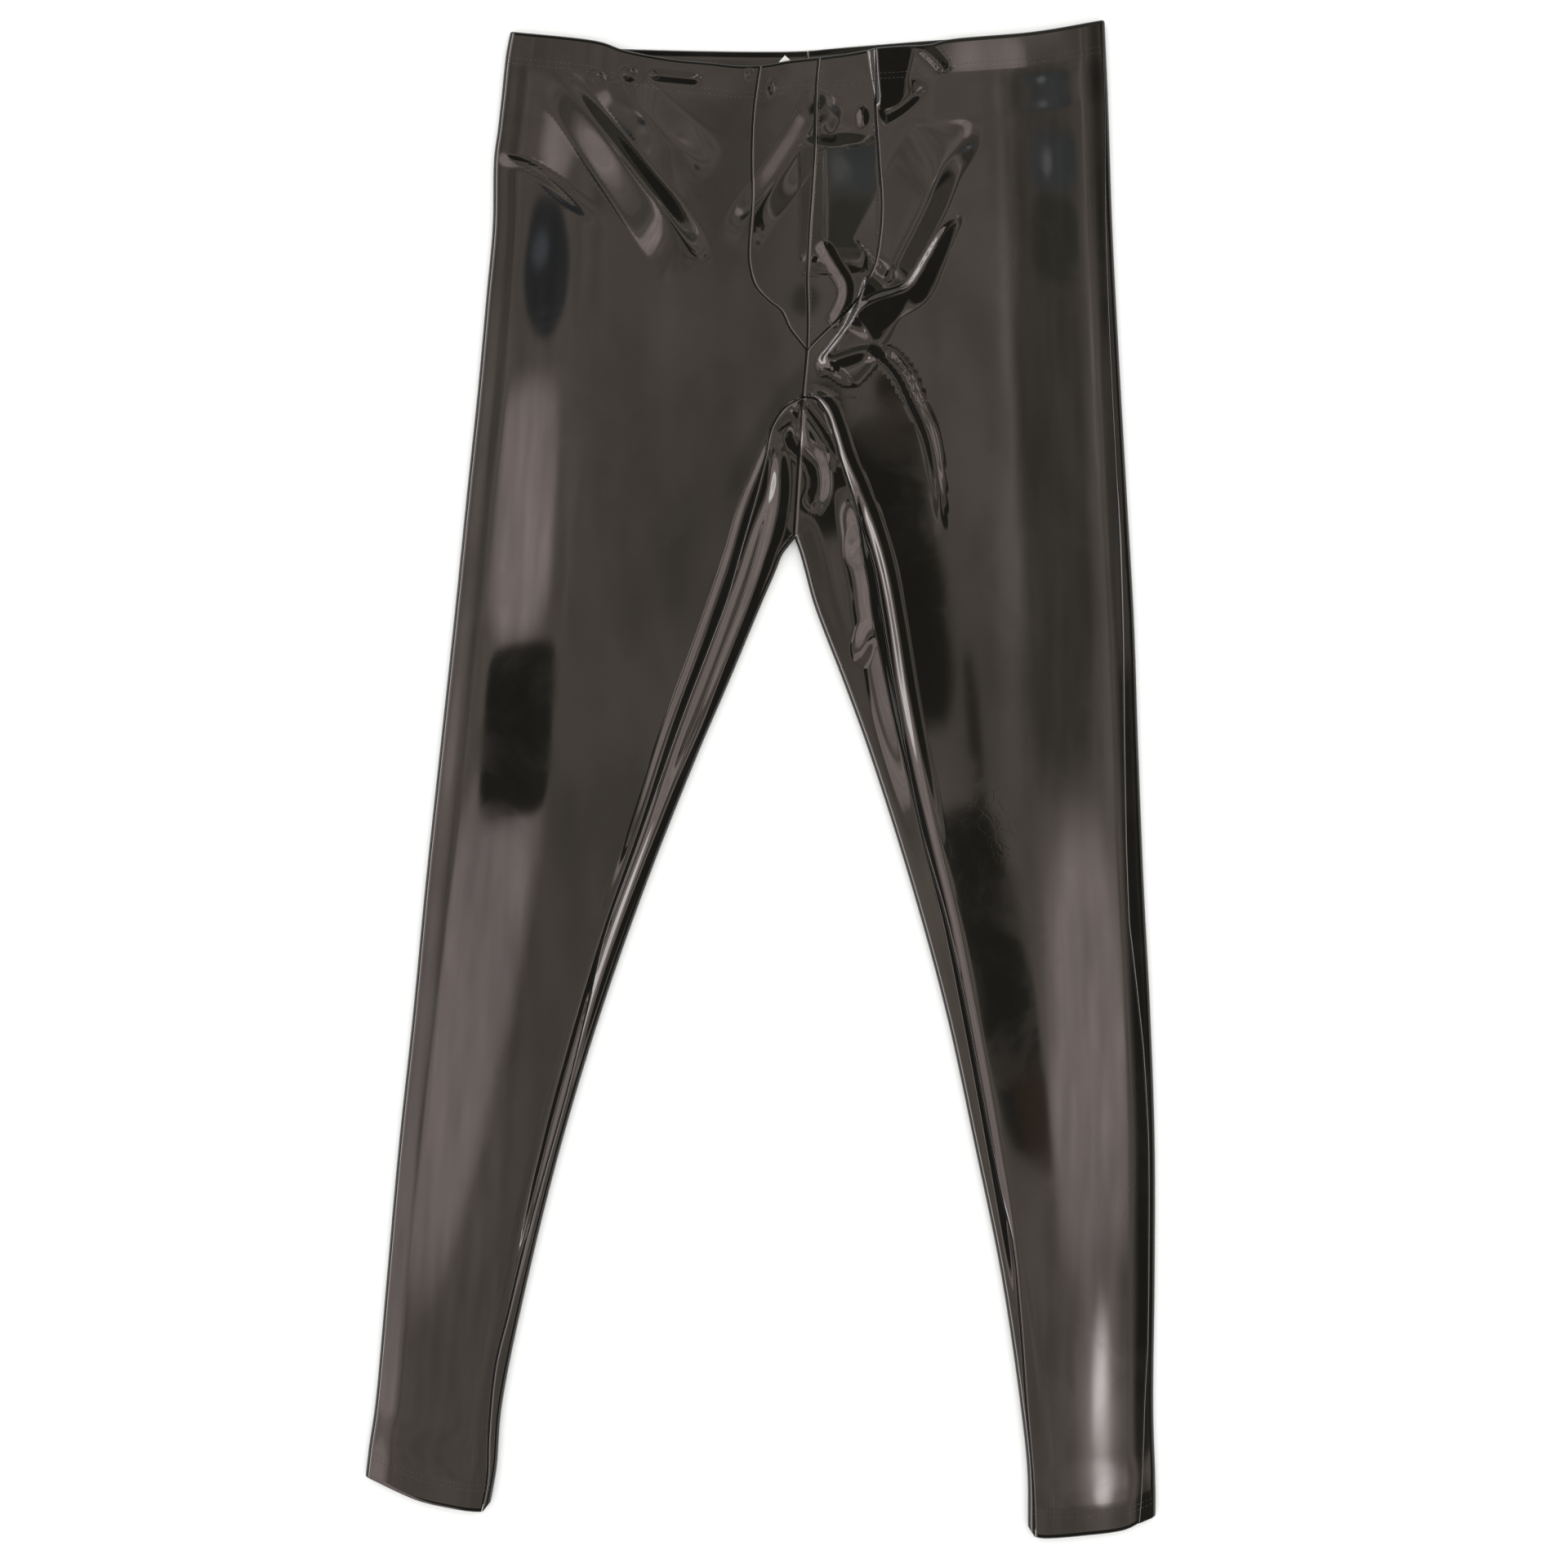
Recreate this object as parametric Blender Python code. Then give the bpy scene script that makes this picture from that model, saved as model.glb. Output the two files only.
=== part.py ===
"""Wet-look leggings with a pouch front, laid flat on the floor, front up.

Every cut piece is one closed wall of cloth. Plan sizes are in millimetres: across is +X, towards
the wearer's left, and along is +Y, towards the waist. The top of the garment is one height
function, so that neighbouring pieces meet along their seams. The back panels lie on the floor and
wrap round the folded edges of the legs on to the top, where they meet the front panels.
"""
import math

import bmesh
import bpy
import numpy as np

MM = 0.001

# Cloth and sewing
WALL = 1.3                      # thickness of the coated knit
SEAM_GAP = 0.3                  # between two pieces at a seam
CROTCH_GAP = 1.4                # from the crotch point to the first row of a seam
SIDE_SEAM_GAP = 0.5             # at the side seams, which lie on the round of the edge
TURN_GAP = 0.3                  # between the two plies of a turned edge
TURN_RADIUS = WALL + TURN_GAP / 2
CASING_DEPTH = 20.0             # waist casing, turned in over its elastic
HEM_DEPTH = 18.0                # ankle hems, turned in

# Height of the garment as it lies
EDGE_HEIGHT = 3.1               # height of the folded edge's outermost line
EDGE_ROUND = 3.0                # radius of its upper half
EDGE_FOOT = 3.0                 # how far the lower half runs in before it lies flat
EDGE_PLUMP = 0.9                # how much rounder the edge is where the cloth is double
SHOULDER_RISE = 0.3
SHOULDER_WIDTH = 18.0
MIDDLE_SAG = 0.7                # how far the middle of a panel lies below its shoulders
SAG_WIDTH = 45.0
LOWEST_TOP = 3.3                # two plies with a little air
LOWEST_CASING = 6.25            # four plies
FOLD_MARGIN = 2.0               # folds die out this near the edge
FOLD_FADE = 9.0
DOUBLE_FADE = 34.0              # how far past a turned edge the garment stays plumper
EDGE_RUNS = 2.5                 # length of the straight runs that stand for an edge
EDGE_MARGIN = 0.25              # the top starts this far inside the edge
SLOPE_STEP = 0.05               # step that slopes are measured over

# Lines of the garment in plan, from the waist down. Columns: across, along
LINES = {
    "right_outer": ((-169, 503), (-172, 487), (-175, 459), (-177.5, 437), (-180, 418), (-181, 371),
                    (-185, 327), (-191, 261), (-198, 195), (-207, 107), (-216.5, 19), (-226, -69),
                    (-234.5, -157), (-244, -245), (-252, -333), (-260, -421), (-264, -448),
                    (-266.5, -469)),
    "right_inner": ((22.3, 162), (14, 151), (9.5, 140), (0, 118), (-23, 63), (-42, 19), (-77, -69),
                    (-108, -157), (-134.5, -245), (-156.5, -333), (-174.5, -421), (-178, -465),
                    (-180.5, -480), (-182.5, -490.5)),
    "left_inner": ((22.3, 162), (26, 151), (29, 140), (35, 118), (56, 63), (72, 19), (100, -69),
                   (124, -157), (143, -245), (161, -333), (174, -421), (178.5, -465), (179, -506)),
    "left_outer": ((230.7, 510.5), (233, 459), (236, 371), (240.5, 283), (245.5, 195), (250.5, 107),
                   (253.5, 19), (257, -69), (261.5, -157), (264.5, -245), (264.5, -333),
                   (263.5, -421), (265, -481), (265, -500)),
    "right_inseam": ((28, 257), (16, 250), (7, 236), (3, 217), (-2.5, 195), (-15, 151), (-23, 123),
                     (-34.5, 92), (-54, 41), (-84, -44), (-105, -103), (-118.5, -159),
                     (-131, -211), (-145, -261), (-158, -309), (-170, -359), (-178.5, -394),
                     (-183, -440), (-184, -470), (-188, -492)),
    "left_inseam": ((28, 257), (33, 257.5), (38, 255), (44, 246), (49, 231), (54, 214), (61, 193),
                    (67, 172), (75.5, 144), (80.5, 115), (92, 46), (107.5, -34), (124.5, -95),
                    (138, -157), (152.5, -235), (161.5, -280), (168.5, -310), (174, -362),
                    (178, -417), (182.5, -471), (184, -509)),
    "right_pouch": ((-0.8, 480), (-4.7, 453), (-6.3, 426), (-6.3, 387), (-8.3, 356), (-8, 347),
                    (-4, 332), (5, 322), (13.5, 315), (19.5, 303), (26, 294.5), (30.5, 289)),
    "left_pouch": ((76.5, 491), (77, 450), (79, 420), (81, 385), (80, 367), (76.5, 347),
                   (67.5, 328), (59.5, 316), (47.5, 305), (37.5, 295.5), (31.5, 289)),
    "centre_front": ((38.8, 485.4), (37, 465), (36, 426), (34, 396), (32, 367), (31, 337),
                     (31.5, 308), (31, 289)),
    "crotch_front": ((31, 289), (30, 278), (28, 257)),
    "centre_back": ((31, 490.5), (27, 330), (22.3, 162)),
    "crotch_back": ((22.3, 162), (25.2, 210), (28, 257)),
    "waist_front": ((-169, 502.5), (-108.5, 495.3), (-95, 490.5), (-79.5, 487), (-58, 483.5),
                    (-36, 481.5), (-13.5, 479.3), (2.5, 480), (19, 483), (38.8, 485.4), (58.5, 488),
                    (76.5, 491), (97.5, 493), (114, 494.2), (125, 497), (184.5, 502.5),
                    (230.7, 510.4)),
    "waist_back": ((-169, 502.5), (-128, 497.5), (-103, 492.5), (-73, 491), (2.5, 489.8),
                   (29, 490.3), (48.5, 492), (97.5, 496), (125, 498), (184.5, 503.2),
                   (230.7, 510.4)),
    "right_hem": ((-266.5, -469), (-234, -484), (-222.5, -487.5), (-210.5, -490), (-198, -492.2),
                  (-188, -492.8), (-182.5, -491.8)),
    "left_hem": ((265, -500), (254, -505), (244, -508.8), (215, -510.3), (190, -509.9),
                 (184, -508.6), (179, -507)),
}

# How far inside the outer edge each side seam lies. Columns: along, inset
SIDE_SEAM_INSET = {
    "right": ((510, 1.6), (-510, 1.6)),
    "left": ((510, 2.0), (440, 3.0), (380, 5.0), (288, 6.5), (186, 7.0), (93, 8.8), (-43, 11.5),
             (-95, 12.0), (-180, 6.5), (-240, 5.0), (-380, 4.8), (-440, 7.5), (-510, 12.5)),
}

# Folds on the top. Columns: rise (a trough is negative), half width, points (across, along)
FOLDS = {
    "hip_pinch": (-2.6, 7, ((-184, 419), (-163, 416), (-146, 394))),
    "hip_pinch_lip": (2.2, 9, ((-176, 427), (-160, 426), (-140, 405), (-122, 372))),
    "gather_ridge_right": (2.4, 14, ((-124, 462), (-104, 420), (-76, 366))),
    "gather_trough_right": (-2.2, 12, ((-104, 470), (-84, 436), (-56, 390))),
    "gather_ridge_inner": (2.0, 13, ((-82, 474), (-62, 446), (-34, 410))),
    "gather_trough_left": (-2.4, 12, ((122, 455), (140, 428), (112, 392), (95, 345))),
    "gather_ridge_left": (1.6, 12, ((100, 458), (112, 428), (90, 392))),
    "horn_ridge": (4.5, 11, ((48, 318), (78, 335), (108, 366))),
    "horn_trough": (-2.4, 11, ((44, 291), (72, 306), (100, 332), (118, 360))),
    "thigh_ridge": (5.0, 10, ((34, 290), (44, 281), (70, 285), (98, 276), (115, 240), (125, 186))),
    "thigh_trough": (-2.4, 22, ((52, 258), (78, 238), (92, 190), (98, 120))),
    "leaf_trough": (-1.6, 12, ((29, 272), (8, 240), (-14, 204))),
    "right_lip": (2.2, 7, ((20, 256), (1, 240), (-6, 200), (-26, 128), (-58, 44), (-100, -76))),
    "left_lip": (2.4, 8, ((38, 260), (55, 236), (66, 200), (80, 150), (87, 116), (98, 46))),
    "right_groove": (-1.8, 4, ((14, 246), (7, 216), (0, 186), (-19, 128), (-50, 41), (-96, -76))),
    "left_groove": (-2.0, 5, ((44, 240), (55, 200), (63, 172), (73, 128), (86, 46), (103, -44))),
    "right_roll": (5.0, 11, ((14, 226), (10, 190), (8, 164), (-9, 118), (-28, 72), (-66, -18))),
    "left_roll": (6.0, 13, ((32, 244), (47, 216), (49, 186), (54, 148), (60, 128), (76, 62))),
    "crotch_valley": (-3.2, 12, ((22, 250), (26, 216), (30, 196), (24, 170))),
}

# Soft swellings on the top. Columns: rise, centre across, centre along, radius across, radius along
SWELLINGS = {
    "pouch_right": (1.6, 14, 380, 26, 90),
    "pouch_left": (2.0, 56, 390, 26, 90),
    "waist_slack": (1.2, 15, 478, 62, 34),
    "crotch": (2.6, 30, 262, 70, 60),
}

# Rows of a panel. The runs are measured along its seams. Columns: first step, last step
CROTCH_ROW_STEPS = (11.0, 11.0)
INSEAM_ROW_STEPS = (5.0, 62.0)
BACK_ROW_STEPS = (18.0, 44.0)
CROTCH_BACK_ROW_STEPS = (3.0, 20.0)
TURN_ANGLES = (45.0, 90.0, 135.0)

# Columns of a front panel: places from its side seam and from its inner seam, and those between
SIDE_COLUMNS = (0.0, 1.0, 2.6, 7.0, 14.0)
INNER_COLUMNS = (0.0, 3.0, 8.0, 15.0)
MIDDLE_COLUMNS = 4
POUCH_COLUMNS = 6
POUCH_ROWS = 17

# Columns of a back panel: how long a step is on each stretch of a row
FLOOR_STEP = 60.0
EDGE_STEP = 1.8
TOP_STEP = 7.0
BACK_COLUMNS = 20
FLOOR_LEAD = 16.0
TOP_STRIP_STEPS = 5
INNER_STEPS = 9.5

# Where the rows of a panel end at its side seam. Columns: run of the inner seam, run of the side
FRONT_ROW_ENDS = ((0, 0), (20, 20), (205, 208), (240, 248), (300, 300), (420, 412))
BACK_ROW_ENDS = ((0, 0), (20, 20), (190, 196), (262, 262), (322, 306), (335, 314), (430, 350),
                 (480, 372), (548, 408), (611, 446), (665, 486), (756, 562))
# Where the rows that start on an inseam cross the inner edge. Columns: inseam run, edge run
INNER_EDGE_ROWS = ((0, 8), (14, 11), (30, 14.5), (50, 19), (73, 27), (118, 47), (148, 68),
                   (181, 94), (235, 141), (326, 232))

# The blank label inside the back waist
LABEL_LENGTH = 20.0
LABEL_WIDTH = 13.0
LABEL_THICKNESS = 1.0
LABEL_CORNER = (15.7, 487.0)
LABEL_TURN = 42.0

# Finishes. Columns: colour, roughness
VINYL_FINISH = ((0.020, 0.017, 0.015), 0.12)
LABEL_FINISH = ((0.80, 0.79, 0.76), 0.80)


class Path:
    """A curve in plan through a few points, measured by its run from the first one."""

    def __init__(self, knots, smooth=True):
        knots = np.array(knots, float)
        self.points = rounded(knots) if smooth else stepped(knots)
        self.runs = np.concatenate([[0.0], np.cumsum(np.hypot(*np.diff(self.points, axis=0).T))])
        self.length = self.runs[-1]

    def at(self, run):
        """Point at a run, or points at several."""
        across = np.interp(run, self.runs, self.points[:, 0])
        along = np.interp(run, self.runs, self.points[:, 1])
        return np.stack([across, along], axis=-1)

    def normal(self, run):
        """Unit normal, which points to +X where the curve runs down from the waist."""
        run = np.asarray(run, float)
        step = self.at(np.minimum(run + 0.6, self.length)) - self.at(np.maximum(run - 0.6, 0.0))
        step /= np.linalg.norm(step, axis=-1, keepdims=True)
        return np.stack([-step[..., 1], step[..., 0]], axis=-1)

    def beside(self, run, distance):
        """Point beside the curve, to the side of its normal."""
        return self.at(run) + self.normal(run) * distance

    def along_at(self, across):
        """Where the curve crosses a line that runs along the garment."""
        order = np.argsort(self.points[:, 0])
        return np.interp(across, self.points[order, 0], self.points[order, 1])

    def coarse(self, step):
        """The curve as straight runs of about one step."""
        return self.at(np.linspace(0, self.length, max(2, int(self.length / step)) + 1))


def rounded(knots, step=1.0):
    """Smooth curve through the knots, with the slopes of a centripetal spline."""
    spans = np.sqrt(np.linalg.norm(np.diff(knots, axis=0), axis=1))
    rates = np.diff(knots, axis=0) / spans[:, None]
    slopes = np.empty_like(knots)
    slopes[0] = rates[0]
    slopes[-1] = rates[-1]
    before, after = spans[:-1, None], spans[1:, None]
    slopes[1:-1] = (rates[:-1] * after + rates[1:] * before) / (before + after)
    result = [knots[:1]]
    for index, span in enumerate(spans):
        count = max(2, int(math.dist(knots[index], knots[index + 1]) / step))
        t = np.linspace(0, 1, count + 1)[1:, None]
        result.append(knots[index] * (1 + 2 * t) * (1 - t) ** 2
                      + knots[index + 1] * t ** 2 * (3 - 2 * t)
                      + slopes[index] * span * t * (1 - t) ** 2
                      + slopes[index + 1] * span * t ** 2 * (t - 1))
    return np.concatenate(result)


def stepped(knots, step=1.0):
    """Straight runs between the knots, in short steps."""
    result = [knots[:1]]
    for start, stop in zip(knots, knots[1:]):
        count = max(1, int(math.dist(start, stop) / step))
        share = np.linspace(0, 1, count + 1)[1:, None]
        result.append(start + (stop - start) * share)
    return np.concatenate(result)


def ease(value):
    """Smooth step from 0 to 1."""
    value = np.clip(value, 0.0, 1.0)
    return value * value * (3.0 - 2.0 * value)


def unit(vectors):
    return vectors / np.linalg.norm(vectors, axis=-1, keepdims=True)


def nearest(plan, line):
    """Distance of plan points from a line of straight runs, and the share of it passed there."""
    start = line[:-1]
    step = np.diff(line, axis=0)
    size = np.linalg.norm(step, axis=1)
    offset = plan[..., None, :] - start
    share = np.clip((offset * step).sum(-1) / size ** 2, 0.0, 1.0)
    gap = np.linalg.norm(offset - share[..., None] * step, axis=-1)
    best = gap.argmin(-1)[..., None]
    passed = np.concatenate([[0.0], np.cumsum(size)[:-1]])[best[..., 0]]
    passed = passed + np.take_along_axis(share, best, -1)[..., 0] * size[best[..., 0]]
    return np.take_along_axis(gap, best, -1)[..., 0], passed / size.sum()


PATHS = {name: Path(knots) for name, knots in LINES.items()}
EDGES = [PATHS[name].coarse(EDGE_RUNS) for name in
         ("right_outer", "left_outer", "right_inner", "left_inner")]
FOLD_LINES = {name: Path(fold[2]).coarse(5.0) for name, fold in FOLDS.items()}


def doubled(plan):
    """1 where the cloth is turned in at the waist or at a hem, easing to 0 past it."""
    across, along = plan[..., 0], plan[..., 1]
    below_waist = PATHS["waist_front"].along_at(across) - along
    hem = np.where(across < 0, PATHS["right_hem"].along_at(across),
                   PATHS["left_hem"].along_at(across))
    casing = 1.0 - ease((below_waist - CASING_DEPTH - 2.0) / DOUBLE_FADE)
    return np.maximum(casing, 1.0 - ease((along - hem - HEM_DEPTH - 2.0) / DOUBLE_FADE))


def height(plan):
    """Height of the garment's top over the floor at plan points."""
    depth = np.min([nearest(plan, edge)[0] for edge in EDGES], axis=0)
    double = doubled(plan)
    plump = EDGE_PLUMP * double
    radius = EDGE_ROUND + plump
    arc = np.sqrt(np.maximum(radius ** 2 - (radius - np.minimum(depth, radius)) ** 2, 0.0))
    sag = MIDDLE_SAG * (1.0 - double) * ease((depth - SHOULDER_WIDTH) / SAG_WIDTH)
    base = EDGE_HEIGHT + plump + arc + SHOULDER_RISE * ease(depth / SHOULDER_WIDTH) - sag
    change = np.zeros_like(base)
    for name, (rise, half_width, _) in FOLDS.items():
        gap, share = nearest(plan, FOLD_LINES[name])
        across_fold = np.maximum(1.0 - (gap / half_width) ** 2, 0.0) ** 2
        change = change + rise * across_fold * ease(share * 4.0) * ease((1.0 - share) * 4.0)
    for rise, across, along, wide, long in SWELLINGS.values():
        reach = ((plan[..., 0] - across) / wide) ** 2 + ((plan[..., 1] - along) / long) ** 2
        change = change + rise * np.maximum(1.0 - reach, 0.0) ** 2
    change = change * ease((depth - FOLD_MARGIN) / FOLD_FADE)
    lowest = LOWEST_TOP + (LOWEST_CASING - LOWEST_TOP) * double
    room = np.maximum(base - lowest, 0.01)
    return base + np.where(change < 0, -room * (1.0 - np.exp(np.minimum(change, 0) / room)), change)


def on_top(plan):
    """Points of the garment's top over plan points, and its outward normals there."""
    shift_across = np.array([SLOPE_STEP, 0.0])
    shift_along = np.array([0.0, SLOPE_STEP])
    slope_across = (height(plan + shift_across) - height(plan - shift_across)) / (2 * SLOPE_STEP)
    slope_along = (height(plan + shift_along) - height(plan - shift_along)) / (2 * SLOPE_STEP)
    points = np.concatenate([plan, height(plan)[..., None]], axis=-1)
    normals = np.stack([-slope_across, -slope_along, np.ones_like(slope_along)], axis=-1)
    return points, unit(normals)


class Side:
    """The lines of the wearer's right side (-X) or left side (+X)."""

    def __init__(self, name, sign):
        self.name = name
        self.sign = sign
        self.outer = PATHS[name + "_outer"]
        self.inner = PATHS[name + "_inner"]
        self.inseam = PATHS[name + "_inseam"]
        self.pouch = PATHS[name + "_pouch"]
        self.hem = PATHS[name + "_hem"]

    def side_seam(self, run, gap):
        """Plan point of the side seam, moved in by a gap."""
        along, inset = np.array(sorted(SIDE_SEAM_INSET[self.name])).T
        place = self.outer.at(run)
        return self.outer.beside(run, -self.sign * (np.interp(place[1], along, inset) + gap))


RIGHT = Side("right", -1)
LEFT = Side("left", 1)


def run_steps(start, stop, first, last):
    """Runs from start to stop in steps that grow evenly from the first to the last."""
    count = max(1, round((stop - start) / ((first + last) / 2)))
    weights = np.linspace(first, last, count)
    return start + np.concatenate([[0.0], np.cumsum(weights)]) / weights.sum() * (stop - start)


def inseam_runs(side):
    """Runs of the rows along an inseam, after the crotch and down to the hem's edge."""
    stop = side.inseam.length - TURN_RADIUS
    return np.concatenate([run_steps(INSEAM_ROW_STEPS[0], stop - HEM_DEPTH, *INSEAM_ROW_STEPS),
                           [stop]])


def pouch_runs(line):
    """Runs of the rows along a seam of the pouch, from the waist's edge to its tip."""
    return np.concatenate([[TURN_RADIUS], np.linspace(CASING_DEPTH, line.length - 0.4, POUCH_ROWS)])


def bow(line, start, stop):
    """How far a waist or hem line lies off the chord between two of its places."""
    low, high = line.along_at(start), line.along_at(stop)

    def lift(across):
        chord = low + (high - low) * (across - start) / (stop - start)
        return line.along_at(across) - chord
    return lift


def turn_in(points, normals):
    """Adds, before the first row, the fold of a turned edge and its inner ply as far as row 1."""
    tangent = points[0] - points[1]
    tangent = unit(tangent - normals[0] * (tangent * normals[0]).sum(-1, keepdims=True))
    rows = [points[index] - normals[index] * 2 * TURN_RADIUS for index in (1, 0)]
    faces = [-normals[1], -normals[0]]
    for angle in np.radians(TURN_ANGLES[::-1]):
        facing = normals[0] * np.cos(angle) + tangent * np.sin(angle)
        rows.append(points[0] - normals[0] * TURN_RADIUS + facing * TURN_RADIUS)
        faces.append(facing)
    return (np.concatenate([np.array(rows), points]), np.concatenate([np.array(faces), normals]))


def turn_in_both(points, normals):
    """Turned edges at both ends of a panel."""
    points, normals = turn_in(points, normals)
    points, normals = turn_in(points[::-1], normals[::-1])
    return points[::-1], normals[::-1]


def wall_object(name, points, normals, material):
    """Closed wall of cloth with its outer face through a grid of points."""
    rows, columns = points.shape[:2]
    inner = points - normals * WALL
    corners = np.concatenate([points.reshape(-1, 3), inner.reshape(-1, 3)]) * MM
    back = rows * columns
    index = np.arange(back).reshape(rows, columns)
    faces = []
    for row in range(rows - 1):
        for column in range(columns - 1):
            ring = [index[row, column], index[row, column + 1],
                    index[row + 1, column + 1], index[row + 1, column]]
            spans = [math.dist(corners[ring[first]], corners[ring[first + 2]]) for first in (0, 1)]
            ring = ring[int(spans[1] < spans[0]):] + ring[:int(spans[1] < spans[0])]
            for triangle in ((ring[0], ring[1], ring[2]), (ring[0], ring[2], ring[3])):
                faces.append(triangle)
                faces.append([corner + back for corner in reversed(triangle)])
    rim = np.concatenate([index[0, :-1], index[:-1, -1], index[-1, :0:-1], index[:0:-1, 0]])
    for first, second in zip(rim, np.roll(rim, -1)):
        faces.append((second, first, first + back, second + back))
    return mesh_object(name, corners, faces, material)


def mesh_object(name, corners, faces, material):
    mesh = bpy.data.meshes.new(name)
    mesh.from_pydata([tuple(map(float, corner)) for corner in corners], [],
                     [tuple(map(int, face)) for face in faces])
    shape = bmesh.new()
    shape.from_mesh(mesh)
    bmesh.ops.recalc_face_normals(shape, faces=shape.faces)
    shape.to_mesh(mesh)
    shape.free()
    mesh.shade_smooth()
    mesh.materials.append(material)
    thing = bpy.data.objects.new(name, mesh)
    bpy.context.scene.collection.objects.link(thing)
    return thing


def front_inner_line(side):
    """Points of a front panel's inner edge: pouch seam, crotch seam and inseam."""
    gap = side.sign * SEAM_GAP / 2
    pouch = side.pouch.beside(pouch_runs(side.pouch)[:-1], gap)
    crotch = PATHS["crotch_front"]
    crotch_runs = run_steps(CROTCH_GAP, crotch.length - CROTCH_GAP, *CROTCH_ROW_STEPS)
    middle = crotch.beside(crotch_runs, gap)
    inseam = side.inseam.beside(inseam_runs(side), gap)
    runs = np.concatenate([pouch_runs(side.pouch)[:-1], side.pouch.length + crotch_runs,
                           side.pouch.length + crotch.length + inseam_runs(side)])
    return np.concatenate([pouch, middle, inseam]), runs


def front_panel(side, material):
    """Half of the front, from the waist to the hem and from the side seam to the pouch."""
    inner, runs = front_inner_line(side)
    keys = np.array(FRONT_ROW_ENDS + ((runs[-1], side.outer.length - TURN_RADIUS),), float)
    side_runs = np.interp(runs, *keys.T)
    side_runs[0] = TURN_RADIUS
    side_runs[-2] = side_runs[-1] - HEM_DEPTH + TURN_RADIUS
    outer = np.array([side.side_seam(run, SIDE_SEAM_GAP / 2) for run in side_runs])
    width = np.linalg.norm(inner - outer, axis=1)
    middle = np.linspace(0, 1, MIDDLE_COLUMNS + 2)[1:-1]
    grid = []
    for row, size in enumerate(width):
        low = np.array(SIDE_COLUMNS) / size
        high = 1.0 - np.array(INNER_COLUMNS)[::-1] / size
        between = low[-1] + (high[0] - low[-1]) * middle
        share = np.concatenate([low, between, high])[:, None]
        grid.append(outer[row] + (inner[row] - outer[row]) * share)
    plan = np.array(grid)
    waist = bow(PATHS["waist_front"], plan[0, 0, 0], plan[0, -1, 0])(plan[0, :, 0])
    hem = bow(side.hem, plan[-1, 0, 0], plan[-1, -1, 0])(plan[-1, :, 0])
    plan[..., 1] += waist * (1.0 - ease((runs[:, None] - CASING_DEPTH) / 60.0))
    plan[..., 1] += hem * (1.0 - ease((runs[-1] - runs[:, None] - HEM_DEPTH) / 60.0))
    return wall_object("front_panel_" + side.name, *turn_in_both(*on_top(plan)), material)


def pouch_half(side, material):
    """Half of the pouch, from its seam with the front panel to the centre-front seam."""
    gap = side.sign * SEAM_GAP / 2
    outer = side.pouch.beside(pouch_runs(side.pouch), -gap)
    centre = PATHS["centre_front"]
    inner = centre.beside(pouch_runs(centre), gap)
    share = np.linspace(0, 1, POUCH_COLUMNS)[None, :, None]
    plan = outer[:, None] + (inner - outer)[:, None] * share
    waist = bow(PATHS["waist_front"], plan[0, 0, 0], plan[0, -1, 0])(plan[0, :, 0])
    runs = pouch_runs(centre)[:, None]
    plan[..., 1] += waist * (1.0 - ease((runs - CASING_DEPTH) / 60.0))
    return wall_object("pouch_" + side.name, *turn_in(*on_top(plan)), material)


def edge_wrap(edge, run, inward, stop):
    """Section round a folded edge from the floor up and in to a place on the top."""
    place = edge.at(run)
    plump = EDGE_PLUMP * doubled(place)
    foot, rise = EDGE_FOOT + plump, EDGE_HEIGHT + plump
    angles = np.radians(np.linspace(90, 0, 13))[:, None]
    low = np.concatenate([place + inward * foot * (1 - np.cos(angles)),
                          rise * (1 - np.sin(angles))], axis=1)
    facing = np.concatenate([-inward * np.cos(angles), -np.sin(angles)], axis=1)
    reach = EDGE_MARGIN + (stop - EDGE_MARGIN) * np.linspace(0.0, 1.0, 40)[:, None] ** 2
    points, normals = on_top(place + inward * reach)
    return np.concatenate([low, points]), np.concatenate([facing, normals])


def back_row(side, start, inner_run, side_run):
    """One row of a back panel, from its inner seam round to the side seam."""
    inward = -side.sign * side.outer.normal(side_run)
    seam = side.side_seam(side_run, -SIDE_SEAM_GAP / 2)
    reach = np.linalg.norm(seam - side.outer.at(side_run))
    outer_points, outer_normals = edge_wrap(side.outer, side_run, inward, reach)
    outer_steps = np.full(len(outer_points), EDGE_STEP)
    outer_steps[reach_of(outer_points, side.outer.at(side_run)) > EDGE_ROUND + 1.0] = TOP_STEP
    first, first_normals, first_steps = row_start(side, start, inner_run)
    used = (np.linalg.norm(np.diff(first, axis=0), axis=1) / first_steps[1:]).sum()
    lead_step = FLOOR_LEAD / max(INNER_STEPS - used, FLOOR_LEAD / FLOOR_STEP)
    run = math.dist(first[-1], outer_points[0])
    floor_runs = np.concatenate([np.linspace(0, FLOOR_LEAD, 9),
                                 np.linspace(FLOOR_LEAD, run, 30)[1:-1]])[1:]
    floor = first[-1] + (outer_points[0] - first[-1]) * floor_runs[:, None] / run
    floor_steps = np.where(floor_runs <= FLOOR_LEAD, lead_step, FLOOR_STEP)
    down = np.tile([0.0, 0.0, -1.0], (len(floor), 1))
    points = np.concatenate([first, floor, outer_points])
    normals = np.concatenate([first_normals, down, outer_normals])
    steps = np.concatenate([first_steps, floor_steps, [FLOOR_STEP], outer_steps[1:]])
    weight = np.linalg.norm(np.diff(points, axis=0), axis=1) / steps[1:]
    passed = np.concatenate([[0.0], np.cumsum(weight)])
    wanted = np.linspace(0, passed[-1], BACK_COLUMNS)
    columns = [np.interp(wanted, passed, values) for values in (*points.T, *normals.T)]
    return np.stack(columns[:3], axis=1), unit(np.stack(columns[3:], axis=1))


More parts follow.
